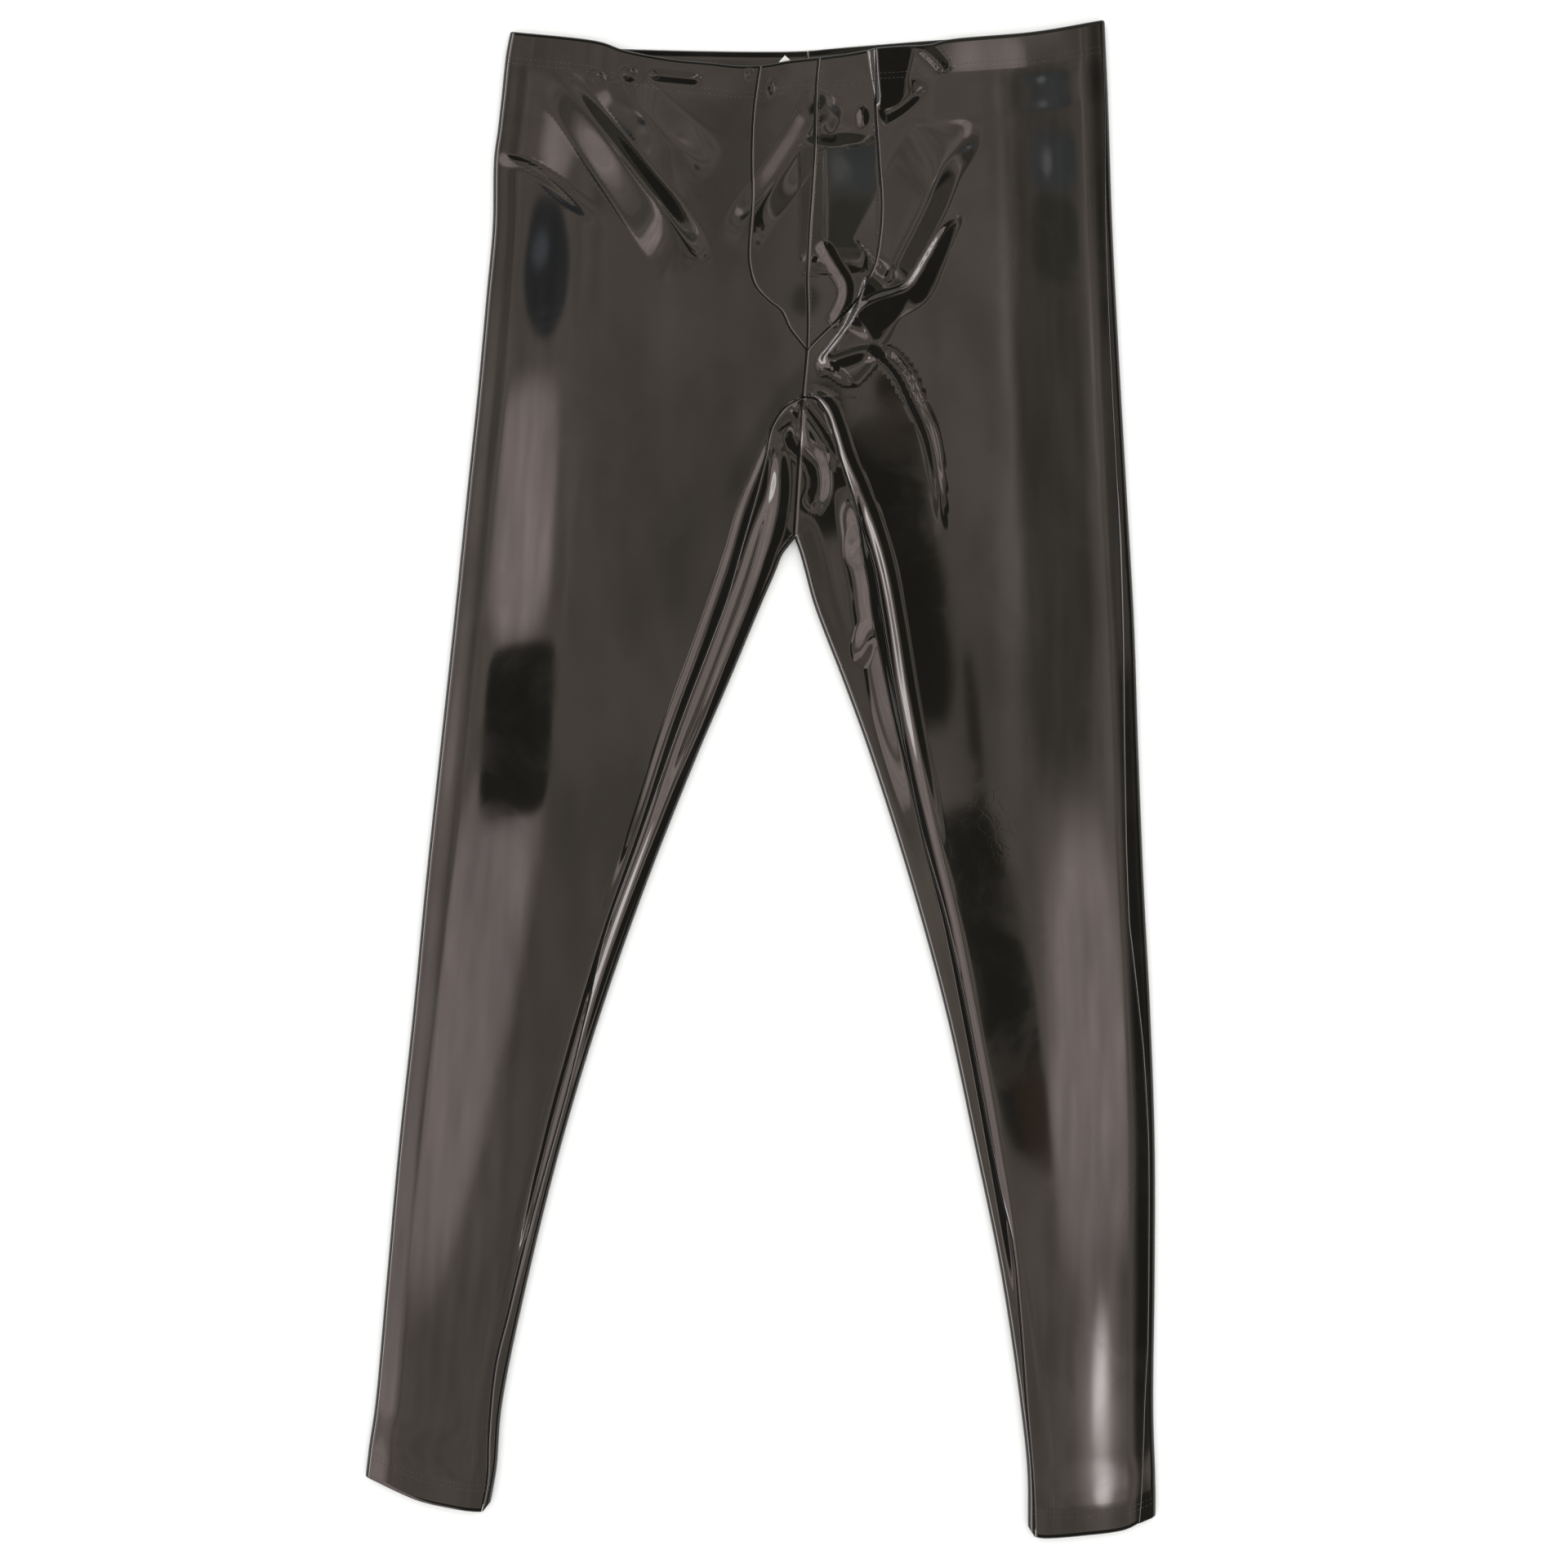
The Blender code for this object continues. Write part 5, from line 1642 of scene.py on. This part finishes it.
class SharedEffects:
    """Shader node groups that more than one finish uses.

    Attributes:
        ripple: unevenness of a coating.
        marks: masks of wear.
        knit: relief of small loops.
        WAVE_STRETCH: factors on the place, which draw the slow waves out along the garment.
        SMEARED: noise between which a smear fades in.
        CREASED: noise between which creases fade in.
        CREASE_BEND: how far creases bend, in metres.
        CREASE_WIDTH: of a crease, as a share of the distance between creases.
        TURN: a full turn, in radians.
        HALF_TURN: half of it.
        LOOP_LEAN: how far a row of loops sways, in radians.
    """

    WAVE_STRETCH = (1.0, 0.42, 1.0)
    SMEARED = (0.46, 0.72)
    CREASED = (0.60, 0.72)
    CREASE_BEND = (0.014, 0.014, 0.014)
    CREASE_WIDTH = 0.055
    TURN = 6.2832
    HALF_TURN = 3.1416
    LOOP_LEAN = 1.3

    def __init__(self) -> None:
        """Builds the groups."""
        self.ripple = self.build_ripple()
        self.marks = self.build_marks()
        self.knit = self.build_knit()

    def build_ripple(self) -> bpy.types.NodeTree:
        """Slow waves and fine peel of a coated surface.

        Returns:
            A group that puts out a height in metres.
        """
        tree, kit, given, result = shader_group("surface_ripple", ("Place", "Wave", "Peel"),
                                                ("Height",))
        place = given.outputs["Place"]
        stretch = kit.node("ShaderNodeMapping", Vector=place, Scale=self.WAVE_STRETCH)
        slow = kit.noise(stretch.outputs[0], 58.0, 1.0, 0.4)
        fine = kit.noise(place, 620.0, 1.0)
        total = kit.math("ADD", kit.math("MULTIPLY", slow, given.outputs["Wave"]),
                         kit.math("MULTIPLY", fine, given.outputs["Peel"]))
        kit.feed(result.inputs["Height"], total)
        return tree

    def build_marks(self) -> bpy.types.NodeTree:
        """Smears, rubbed spots and short creases of a worn coating.

        Returns:
            A group that puts out a mask of each.
        """
        tree, kit, given, result = shader_group("handling_marks", ("Place", "Amount"),
                                                ("Smear", "Crease"))
        place = given.outputs["Place"]
        smear = kit.ramp(kit.noise(place, 14.0, 5.0, 0.62, 0.6), *self.SMEARED)
        kit.feed(result.inputs["Smear"], kit.math("MULTIPLY", smear, given.outputs["Amount"]))
        warp = kit.node("ShaderNodeTexNoise", Vector=place, Scale=90.0, Detail=2.0)
        bent = kit.node("ShaderNodeVectorMath", {"operation": "MULTIPLY_ADD"})
        for socket, value in zip(bent.inputs, (warp.outputs["Color"], self.CREASE_BEND, place)):
            kit.feed(socket, value)
        cells = kit.node("ShaderNodeTexVoronoi", {"feature": "DISTANCE_TO_EDGE"},
                         Vector=bent.outputs[0], Scale=85.0)
        line = kit.ramp(cells.outputs[0], 0.0, self.CREASE_WIDTH, 1.0, 0.0)
        patch = kit.ramp(kit.noise(place, 9.0, 1.0), *self.CREASED)
        kit.feed(result.inputs["Crease"], kit.math("MULTIPLY", line, patch))
        return tree

    def build_knit(self) -> bpy.types.NodeTree:
        """Rows of small loops.

        Returns:
            A group that puts out a height from -1 to 1.
        """
        tree, kit, given, result = shader_group("knit_rows", ("Place", "Pitch"), ("Height",))
        parts = kit.node("ShaderNodeSeparateXYZ", Vector=given.outputs["Place"])
        across, along = (kit.math("DIVIDE", parts.outputs[axis], given.outputs["Pitch"])
                         for axis in (0, 1))
        sway = kit.math("SINE", kit.math("MULTIPLY", across, self.HALF_TURN))
        leaning = kit.math("ADD", kit.math("MULTIPLY", along, self.TURN),
                           kit.math("MULTIPLY", sway, self.LOOP_LEAN))
        wale = kit.math("ABSOLUTE", kit.math("SINE", kit.math("MULTIPLY", across, self.TURN)))
        kit.feed(result.inputs["Height"], kit.math("MULTIPLY", kit.math("SINE", leaning), wale))
        return tree


class Finish(NodeKit):
    """A material that is being made.

    Attributes:
        material: the material.
        shader: its Principled BSDF.
        place: place on the piece, in metres.
    """

    def __init__(self, name: str) -> None:
        """Starts the material.

        Args:
            name: of the material.
        """
        self.material = bpy.data.materials.new(name)
        self.material.use_nodes = True
        super().__init__(self.material.node_tree)
        self.shader = self.tree.nodes["Principled BSDF"]
        self.place = self.node("ShaderNodeTexCoord").outputs["Object"]

    def effect(self, group: bpy.types.NodeTree, **inputs: float) -> bpy.types.Node:
        """Adds a shared group, with its own values."""
        return self.node("ShaderNodeGroup", {"node_tree": group}, Place=self.place, **inputs)

    def done(self, colour: object, roughness: object, height: object, strength: float = 1.0,
             distance: float = 1.0) -> bpy.types.Material:
        """Feeds the shader.

        Args:
            colour: its base colour.
            roughness: its roughness.
            height: relief of the surface.
            strength: how strongly the relief shows.
            distance: metres for a height of 1.

        Returns:
            The material.
        """
        self.feed(self.shader.inputs["Base Color"], colour)
        self.feed(self.shader.inputs["Roughness"], roughness)
        bump = self.node("ShaderNodeBump", Height=height, Strength=strength, Distance=distance)
        self.feed(self.shader.inputs["Normal"], bump.outputs[0])
        return self.material


@dataclass(frozen=True)
class Gloss:
    """Coated outer face of the stretch knit.

    Attributes:
        dark: colour of the cloth.
        light: the same where the coating is rubbed.
        smooth: roughness where it is clean.
        rubbed: roughness where it is smeared.
        wave: height of the slow waves, in metres.
        peel: height of the fine peel, in metres.
        crease: depth of the short creases, in metres.
        ior: index of refraction of the coating.
    """

    dark: Colour = (0.0056, 0.0052, 0.0043)
    light: Colour = (0.0085, 0.0078, 0.0068)
    smooth: float = 0.028
    rubbed: float = 0.05
    wave: float = 0.0000035
    peel: float = 0.00000012
    crease: float = 0.0000008
    ior: float = 1.5

    def material(self, effects: SharedEffects) -> bpy.types.Material:
        """Builds the finish.

        Args:
            effects: the shared groups.

        Returns:
            The material.
        """
        finish = Finish("vinyl_gloss")
        finish.shader.inputs["IOR"].default_value = self.ior
        marks = finish.effect(effects.marks, Amount=1.0)
        ripple = finish.effect(effects.ripple, Wave=self.wave, Peel=self.peel)
        smear = marks.outputs["Smear"]
        crease = finish.math("MULTIPLY", marks.outputs["Crease"], self.crease)
        return finish.done(finish.mixed(smear, self.dark, self.light),
                           finish.ramp(smear, 0.0, 1.0, self.smooth, self.rubbed),
                           finish.math("SUBTRACT", ripple.outputs["Height"], crease))


@dataclass(frozen=True)
class LoopsWithPaintedShade:
    """A cloth of small loops, with painted shade between the loops and painted highlights on their
    crests.

    Attributes:
        name: of the material.
        gap: colour between the loops, darker as painted shade.
        crest: colour of their crests, lighter as a painted highlight.
        pitch: size of a loop, in metres.
        roughness: between the loops, and on their crests.
        strength: how strongly their relief shows.
        depth: of that relief, in metres.
        sheen: soft light of the fibres.
    """

    name: str
    gap: Colour
    crest: Colour
    pitch: float
    roughness: tuple[float, float]
    strength: float
    depth: float
    sheen: float = 0.0

    def material(self, effects: SharedEffects) -> bpy.types.Material:
        """Builds the finish.

        Args:
            effects: the shared groups.

        Returns:
            The material.
        """
        finish = Finish(self.name)
        finish.shader.inputs["Sheen Weight"].default_value = self.sheen
        height = finish.effect(effects.knit, Pitch=self.pitch).outputs["Height"]
        share = finish.ramp(height, -1.0, 1.0)
        # The colour follows the relief of the loops: painted shade in the gaps, painted highlight on
        # the crests.
        return finish.done(finish.mixed(share, self.gap, self.crest),
                           finish.ramp(share, 0.0, 1.0, *self.roughness), height, self.strength,
                           self.depth)


# The matt inner face of the cloth, and the blank woven label, both with painted shade between their
# loops and painted highlights on the crests
KNIT_BACKING = LoopsWithPaintedShade("knit_backing", (0.012, 0.0115, 0.012), (0.030, 0.029, 0.030), 0.0009,
                     (0.9, 0.7), 0.5, 0.0001, 0.25)
LABEL_SATIN = LoopsWithPaintedShade("label_satin", (0.58, 0.57, 0.54), (0.74, 0.73, 0.70), 0.0006,
                    (0.62, 0.42), 0.4, 0.00006)


@dataclass(frozen=True)
class TwistWithPaintedShade:
    """Black sewing thread, with painted shade between its strands and a painted highlight on them.

    Attributes:
        dark: colour between the strands, as painted shade.
        light: colour of the strands, as a painted highlight.
        scale: of the strands, for each metre.
        roughness: between the strands, and on them.
        strength: how strongly their relief shows.
        depth: of that relief, in metres.
    """

    dark: Colour = (0.006, 0.0055, 0.005)
    light: Colour = (0.045, 0.041, 0.038)
    scale: float = 2600.0
    roughness: tuple[float, float] = (0.6, 0.38)
    strength: float = 0.4
    depth: float = 0.00005

    def material(self) -> bpy.types.Material:
        """Builds the finish.

        Returns:
            The material.
        """
        finish = Finish("thread_twist")
        strands = finish.noise(finish.place, self.scale, 1.0)
        share = finish.ramp(strands, 0.35, 0.7)
        # The colour follows the relief of the strands: painted shade between them, painted highlight on
        # them.
        return finish.done(finish.mixed(share, self.dark, self.light),
                           finish.ramp(share, 0.0, 1.0, *self.roughness), strands, self.strength,
                           self.depth)


# ---- label


@dataclass(frozen=True)
class Label:
    """Blank label inside the back waist, one corner of which shows above the front.

    Attributes:
        length: of the slip, in mm.
        width: of the slip.
        thickness: of the slip.
        corner: plan point of the corner that shows.
        turn: degrees that it is turned.
        low: height of its underside.
        curl: height that its ends curl up.
        rows: points along it.
        columns: points across it.
    """

    length: float = 20.0
    width: float = 13.0
    thickness: float = 0.6
    corner: tuple[float, float] = (15.7, 487.0)
    turn: float = 42.0
    low: float = 3.25
    curl: float = 0.175
    rows: int = 18
    columns: int = 12

    def build(self, shift: np.ndarray, material: bpy.types.Material) -> bpy.types.Object:
        """Builds the label as a slightly curled slip.

        Args:
            shift: how far the garment is moved so that its footprint is centred, in mm.
            material: its finish.

        Returns:
            The object.
        """
        turn = math.radians(self.turn)
        right = np.array([math.cos(turn), -math.sin(turn)])
        down = np.array([-math.sin(turn), -math.cos(turn)])
        u, v = np.meshgrid(np.linspace(0, 1, self.columns), np.linspace(0, 1, self.rows))
        plan = (np.array(self.corner) + right * (u * self.width)[..., None]
                + down * (v * self.length)[..., None])
        lift = self.low + self.thickness + self.curl * (2 * v - 1) ** 2
        points = np.concatenate([plan, lift[..., None]], axis=-1)
        points[..., :2] += shift
        points, normals = oriented(points, faced(points, UPWARD))
        thing = Piece("label_slip", "waist_label", points, normals).object(material, material)
        under = (points - UPWARD * self.thickness).reshape(-1, 3) * MM
        for vertex, place in zip(list(thing.data.vertices)[len(under):], under):
            vertex.co = place
        return thing


# ---- the room that the gloss mirrors

CAMERA_HEIGHT = 2.4  # m, straight above the garment
VIEW_WIDTH = 1.056  # m of the floor that the picture shows
VIEW_CENTRE = (0.0157, -0.0033)  # m
SENSOR = 36.0  # mm

ROOM_WARM = (1.25, 1.06, 0.90)  # the ceiling straight above
ROOM_WHITE = (1.25, 1.24, 1.22)  # the walls
ROOM_PLAIN = (1.45, 1.45, 1.44)  # what reaches the dull surfaces
ROOM_BLEND = (0.35, 1.6)  # tangents of the angle between the two


@dataclass(frozen=True)
class Card:
    """A soft panel or a dark flag of the room, by its direction from the garment.

    Attributes:
        colour: its light; black for a flag.
        across: tangent of its direction from straight up, towards +X.
        along: the same towards +Y.
        wide: half width, as a tangent.
        long: half length, as a tangent.
        turn: degrees that its length leans to the left of +Y.
        soft: width of its soft edge, as a share of its size.
        square: 2 for an ellipse, more for a rectangle with round corners.
        cover: how much of what lies behind it it hides, from 0 to 1.
    """

    colour: Colour
    across: float
    along: float
    wide: float
    long: float
    turn: float = 0.0
    soft: float = 0.3
    square: float = 2.0
    cover: float = 1.0


MAUVE = (3.3, 2.72, 2.62)
PALE = (1.75, 1.52, 1.36)
DARK = (0.05, 0.05, 0.045)
DUSK = (0.62, 0.53, 0.45)
WHITE = (11.0, 10.4, 10.2)
BLUE = (0.85, 0.95, 1.1)
DISC = (1.75, 1.75, 1.75)
BROWN = (0.42, 0.26, 0.17)
OLIVE = (0.36, 0.35, 0.26)
SLATE = (0.50, 0.55, 0.58)
INK = (0.22, 0.24, 0.28)

# Columns: colour, across, along, half width, half length, turn, soft edge, squareness, cover
CARDS: dict[str, Card] = {
    "dark_wall": Card(DARK, 0.80, 0.0, 0.625, 1.6, 0, 0.05, 4),
    "dark_foot": Card(DARK, 0.05, -0.75, 0.45, 0.50, 0, 0.08, 4),
    "dark_head": Card(DARK, 0.12, 0.67, 0.50, 0.37, 0, 0.08, 4),
    "window": Card(MAUVE, -0.62, 0.0, 0.435, 1.2, 0, 0.08, 4),
    "window_core": Card(WHITE, -0.74, 0.0, 0.17, 1.0, 0, 0.5, 4),
    "dusk_leg": Card(DUSK, -0.045, -0.02, 0.030, 0.13, -10, 0.6, 4, 0.4),
    "dusk_front": Card(DUSK, -0.012, 0.165, 0.011, 0.050, 4, 0.8, 3, 0.4),
    "dusk_hip": Card(DUSK, -0.056, 0.178, 0.010, 0.022, 0, 0.8, 3, 0.5),
    "left_high": Card(MAUVE, -0.100, 0.080, 0.022, 0.036, 0, 0.35, 4),
    "left_low": Card(MAUVE, -0.125, -0.065, 0.034, 0.078, -24, 0.4, 3),
    "left_flag": Card(DARK, -0.0945, 0.017, 0.0265, 0.025, 0, 0.06, 6),
    "right_pale": Card(PALE, 0.064, 0.10, 0.004, 0.09, 0, 1.2, 2),
    "right_dusk": Card(DUSK, 0.098, 0.10, 0.026, 0.10, 0, 0.3, 4, 0.9),
    "right_strip": Card(PALE, 0.136, 0.06, 0.006, 0.16, 0, 0.6, 4),
    "right_low": Card(MAUVE, 0.113, -0.075, 0.030, 0.062, 0, 0.5, 3),
    "high_flag": Card(DARK, 0.029, 0.070, 0.0125, 0.033, 4, 0.12, 3),
    "crown_flag": Card(DARK, 0.0326, 0.1044, 0.0050, 0.0126, 20, 0.2, 3),
    "brown_lens": Card(BROWN, 0.0305, 0.1014, 0.0032, 0.0096, 0, 0.4, 2),
    "crotch_flag": Card(DARK, 0.0115, 0.091, 0.006, 0.022, 0, 0.2, 3),
    "leaf": Card(DUSK, -0.0046, 0.0993, 0.0034, 0.021, -31, 0.2, 2, 0.8),
    "upper_flag": Card(DARK, 0.0385, 0.045, 0.008, 0.030, 6, 0.3, 3),
    "thin_flag": Card(DARK, 0.0535, 0.013, 0.0018, 0.024, 5, 0.5, 4),
    "long_flag": Card(DARK, 0.061, -0.055, 0.0088, 0.050, 12.6, 0.12, 6),
    "brown_end": Card(BROWN, 0.073, -0.094, 0.007, 0.016, 12, 0.5, 3, 0.8),
    "hip_shade": Card(OLIVE, 0.10, 0.385, 0.10, 0.130, 0, 0.1, 4),
    "edge_shade": Card(DUSK, -0.152, 0.12, 0.014, 0.10, 0, 0.5, 4, 0.6),
    "hip_flag": Card(INK, -0.095, 0.147, 0.017, 0.020, 25, 0.2, 2),
    "hip_spot": Card(BLUE, -0.101, 0.153, 0.006, 0.0042, 0, 1.0, 2),
    "hip_panel": Card(MAUVE, -0.090, 0.184, 0.012, 0.014, 0, 0.6, 2),
    "casing_strip": Card(MAUVE, 0.066, 0.204, 0.019, 0.0065, 0, 0.2, 6),
    "front_glow": Card(PALE, 0.085, 0.228, 0.030, 0.018, 0, 0.4, 3),
    "pouch_dusk": Card(DUSK, 0.200, 0.085, 0.035, 0.050, 0, 0.3, 3),
    "pouch_shade": Card(OLIVE, 0.104, 0.1545, 0.018, 0.012, 0, 0.25, 4),
    "pouch_blue": Card(SLATE, 0.104, 0.1765, 0.018, 0.0085, 0, 0.3, 4),
    "pouch_flag": Card(OLIVE, 0.0060, 0.1358, 0.0036, 0.0042, -25, 0.3, 3),
    "lamp_disc": Card(DISC, 0.0991, 0.1757, 0.0037, 0.0037, 0, 0.2, 2),
    "hem_glow": Card(MAUVE, 0.119, -0.168, 0.014, 0.032, 0, 1.6, 2),
    "hem_lamp": Card(WHITE, 0.120, -0.172, 0.0055, 0.020, 0, 1.4, 2),
}


@dataclass(frozen=True)
class Cloud:
    """Uneven light of the room.

    Attributes:
        across: how often it changes for a tangent of 1 towards +X.
        along: the same towards +Y.
        detail: octaves of its noise.
        darkest: factor where it is darkest.
        brightest: factor where it is brightest.
    """

    across: float
    along: float
    detail: float
    darkest: float
    brightest: float


CLOUDS = (Cloud(130.0, 26.0, 3.0, 0.80, 1.20), Cloud(34.0, 20.0, 3.0, 0.86, 1.12),
          Cloud(7.0, 7.0, 2.0, 0.80, 1.20))


class RoomLight:
    """The world: a pale room whose ceiling and cards the gloss mirrors.

    Attributes:
        LOWEST: sine of the lowest direction that is told apart.
    """

    LOWEST = 0.001

    def card_group(self) -> bpy.types.NodeTree:
        """Group that tells how far a direction lies inside a card.

        Returns:
            The group, which puts out a mask.
        """
        names = ("Across", "Along", "Centre Across", "Centre Along", "Wide", "Long", "Turn", "Soft",
                 "Square", "Cover")
        tree, kit, given, result = shader_group("room_card", names, ("Mask",))
        sockets = given.outputs
        right = kit.math("SUBTRACT", sockets["Across"], sockets["Centre Across"])
        up = kit.math("SUBTRACT", sockets["Along"], sockets["Centre Along"])
        cosine, sine = kit.math("COSINE", sockets["Turn"]), kit.math("SINE", sockets["Turn"])
        wide = kit.math("ADD", kit.math("MULTIPLY", right, cosine), kit.math("MULTIPLY", up, sine))
        long = kit.math("SUBTRACT", kit.math("MULTIPLY", up, cosine),
                        kit.math("MULTIPLY", right, sine))
        total = 0.0
        for part, size in ((wide, "Wide"), (long, "Long")):
            share = kit.math("ABSOLUTE", kit.math("DIVIDE", part, sockets[size]))
            total = kit.math("ADD", kit.math("POWER", share, sockets["Square"]), total)
        reach = kit.math("POWER", total, kit.math("DIVIDE", 1.0, sockets["Square"]))
        inside = kit.math("ADD", kit.math("DIVIDE", kit.math("SUBTRACT", 1.0, reach),
                                          sockets["Soft"]), 0.5)
        kit.feed(result.inputs["Mask"],
                 kit.math("MULTIPLY", kit.ramp(inside, 0.0, 1.0), sockets["Cover"]))
        return tree

    def mottled(self, kit: NodeKit, light: object, across: object, along: object) -> object:
        """Streaks and clouds in the light of the room, as bare walls and curtains give.

        Args:
            kit: the world's nodes.
            light: colour of the room.
            across: tangent of the direction, towards +X.
            along: the same towards +Y.

        Returns:
            The uneven colour.
        """
        for cloud in CLOUDS:
            place = kit.node("ShaderNodeCombineXYZ", X=kit.math("MULTIPLY", across, cloud.across),
                             Y=kit.math("MULTIPLY", along, cloud.along))
            noise = kit.noise(place.outputs[0], 1.0, cloud.detail, 0.6)
            scale = kit.node("ShaderNodeVectorMath", {"operation": "SCALE"})
            kit.feed(scale.inputs[0], light)
            kit.feed(scale.inputs["Scale"],
                     kit.ramp(noise, 0.25, 0.75, cloud.darkest, cloud.brightest))
            light = scale.outputs[0]
        return light

    def build(self) -> None:
        """Builds the world, in which only the gloss sees the cards."""
        world = bpy.data.worlds.new("pale_room")
        world.use_nodes = True
        kit = NodeKit(world.node_tree)
        mirrored = world.node_tree.nodes["Background"]
        plain = kit.node("ShaderNodeBackground", Color=(*ROOM_PLAIN, 1.0), Strength=1.0)
        chosen = kit.node("ShaderNodeMixShader")
        kit.feed(chosen.inputs[0], kit.node("ShaderNodeLightPath").outputs["Is Glossy Ray"])
        direction = kit.node("ShaderNodeTexCoord").outputs["Generated"]
        parts = kit.node("ShaderNodeSeparateXYZ", Vector=direction)
        height = kit.math("MAXIMUM", parts.outputs[2], self.LOWEST)
        across = kit.math("DIVIDE", parts.outputs[0], height)
        along = kit.math("DIVIDE", parts.outputs[1], height)
        reach = kit.math("SQRT", kit.math("ADD", kit.math("MULTIPLY", across, across),
                                          kit.math("MULTIPLY", along, along)))
        light = kit.mixed(kit.ramp(reach, *ROOM_BLEND), ROOM_WARM, ROOM_WHITE)
        group = self.card_group()
        for card in CARDS.values():
            mask = kit.node("ShaderNodeGroup", {"node_tree": group}, Across=across, Along=along,
                            Centre_Across=card.across, Centre_Along=card.along, Wide=card.wide,
                            Long=card.long, Turn=math.radians(card.turn), Soft=card.soft,
                            Square=card.square, Cover=card.cover)
            light = kit.mixed(mask.outputs["Mask"], light, card.colour)
        kit.feed(mirrored.inputs["Color"], self.mottled(kit, light, across, along))
        kit.feed(chosen.inputs[1], plain.outputs[0])
        kit.feed(chosen.inputs[2], mirrored.outputs[0])
        kit.feed(world.node_tree.nodes["World Output"].inputs["Surface"], chosen.outputs[0])
        world.cycles.sampling_method = "NONE"
        bpy.context.scene.world = world


@dataclass(frozen=True)
class Studio:
    """Camera and floor.

    Attributes:
        floor_size: width of the floor, in metres.
        floor_drop: how far it lies below the garment, in metres.
        floor_pale: its colour.
        floor_dull: its colour in faint clouds.
    """

    floor_size: float = 16.0
    floor_drop: float = 0.0003
    floor_pale: Colour = (0.86, 0.86, 0.85)
    floor_dull: Colour = (0.8471, 0.8471, 0.83725)

    def camera(self) -> None:
        """Camera straight above the garment."""
        data = bpy.data.cameras.new("overhead")
        data.sensor_width = SENSOR
        data.lens = SENSOR * CAMERA_HEIGHT / VIEW_WIDTH
        data.clip_start = 0.05
        camera = bpy.data.objects.new("overhead", data)
        camera.location = (*VIEW_CENTRE, CAMERA_HEIGHT)
        bpy.context.scene.collection.objects.link(camera)
        bpy.context.scene.camera = camera

    def floor(self) -> None:
        """Pale floor."""
        half = self.floor_size / 2
        mesh = bpy.data.meshes.new("floor")
        corners = [(-half, -half), (half, -half), (half, half), (-half, half)]
        mesh.from_pydata([(x, y, -self.floor_drop) for x, y in corners], [], [(0, 1, 2, 3)])
        floor = bpy.data.objects.new("floor", mesh)
        bpy.context.scene.collection.objects.link(floor)
        finish = Finish("floor_paint")
        cloud = finish.noise(finish.place, 3.0, 2.0)
        finish.feed(finish.shader.inputs["Base Color"],
                    finish.mixed(cloud, self.floor_dull, self.floor_pale))
        finish.shader.inputs["Roughness"].default_value = 0.9
        finish.shader.inputs["Specular IOR Level"].default_value = 0.1
        mesh.materials.append(finish.material)


# ---- the whole garment


@dataclass
class Leggings:
    """The garment: its cut pieces, label and stitches.

    Attributes:
        effects: shader groups that its finishes share.
        thread: how it is sewn.
        sewing: where it is sewn.
    """

    effects: SharedEffects
    thread: Thread = Thread()
    sewing: Sewing = Sewing()

    def pieces(self) -> list[Piece]:
        """Cut pieces, as they lie.

        Returns:
            All of them, before they are centred.
        """
        result = []
        for leg in Leg:
            result += [FrontPanel(leg).build(), PouchHalf(leg).build(), BackPanel(leg).build()]
        return result

    def build(self) -> None:
        """Makes every object, parents it to the body and hides the CAD part that it stands for."""
        gloss = Gloss().material(self.effects)
        knit = KNIT_BACKING.material(self.effects)
        twist = TwistWithPaintedShade().material()
        pieces = self.pieces()
        low = np.min([piece.points.min((0, 1)) for piece in pieces], axis=0)
        high = np.max([piece.points.max((0, 1)) for piece in pieces], axis=0)
        shift = np.append(-(low + high)[:2] / 2, 0.0)
        for piece in pieces:
            piece.points = piece.points + shift
            thing = piece.object(gloss, knit)
            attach(thing, BODY)
            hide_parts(piece.node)
            LOG.info("%s: %d faces, %.4f square metres", thing.name, len(thing.data.polygons),
                     piece.area())
        label = Label().build(shift[:2], LABEL_SATIN.material(self.effects))
        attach(label, BODY)
        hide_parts("waist_label")
        LOG.info("%s: %d faces", label.name, len(label.data.polygons))
        tree = StitchTree()
        rows = {"stitches_waist": self.sewing.casing(), "stitches_pouch": self.sewing.pouch(),
                "stitches_hem_right": self.sewing.hem(Leg.RIGHT),
                "stitches_hem_left": self.sewing.hem(Leg.LEFT)}
        for name, lines in rows.items():
            moved = [(points + shift, normals) for points, normals in lines]
            stitches = tree.sew(name, moved, self.thread, twist)
            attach(stitches, BODY)
            LOG.info("%s: %d faces", stitches.name, len(stitches.data.polygons))


def corners(box: tuple) -> list[list[float]]:
    """A box as plain lists."""
    return [[float(value) for value in corner] for corner in box]


def main() -> None:
    """Builds the scene."""
    logging.basicConfig(level=logging.INFO, format="%(name)s: %(message)s")
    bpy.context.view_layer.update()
    studio = Studio()
    studio.camera()
    studio.floor()
    RoomLight().build()
    bpy.context.scene.view_settings.view_transform = "Standard"
    Leggings(SharedEffects()).build()


if __name__ == "__main__":
    main()
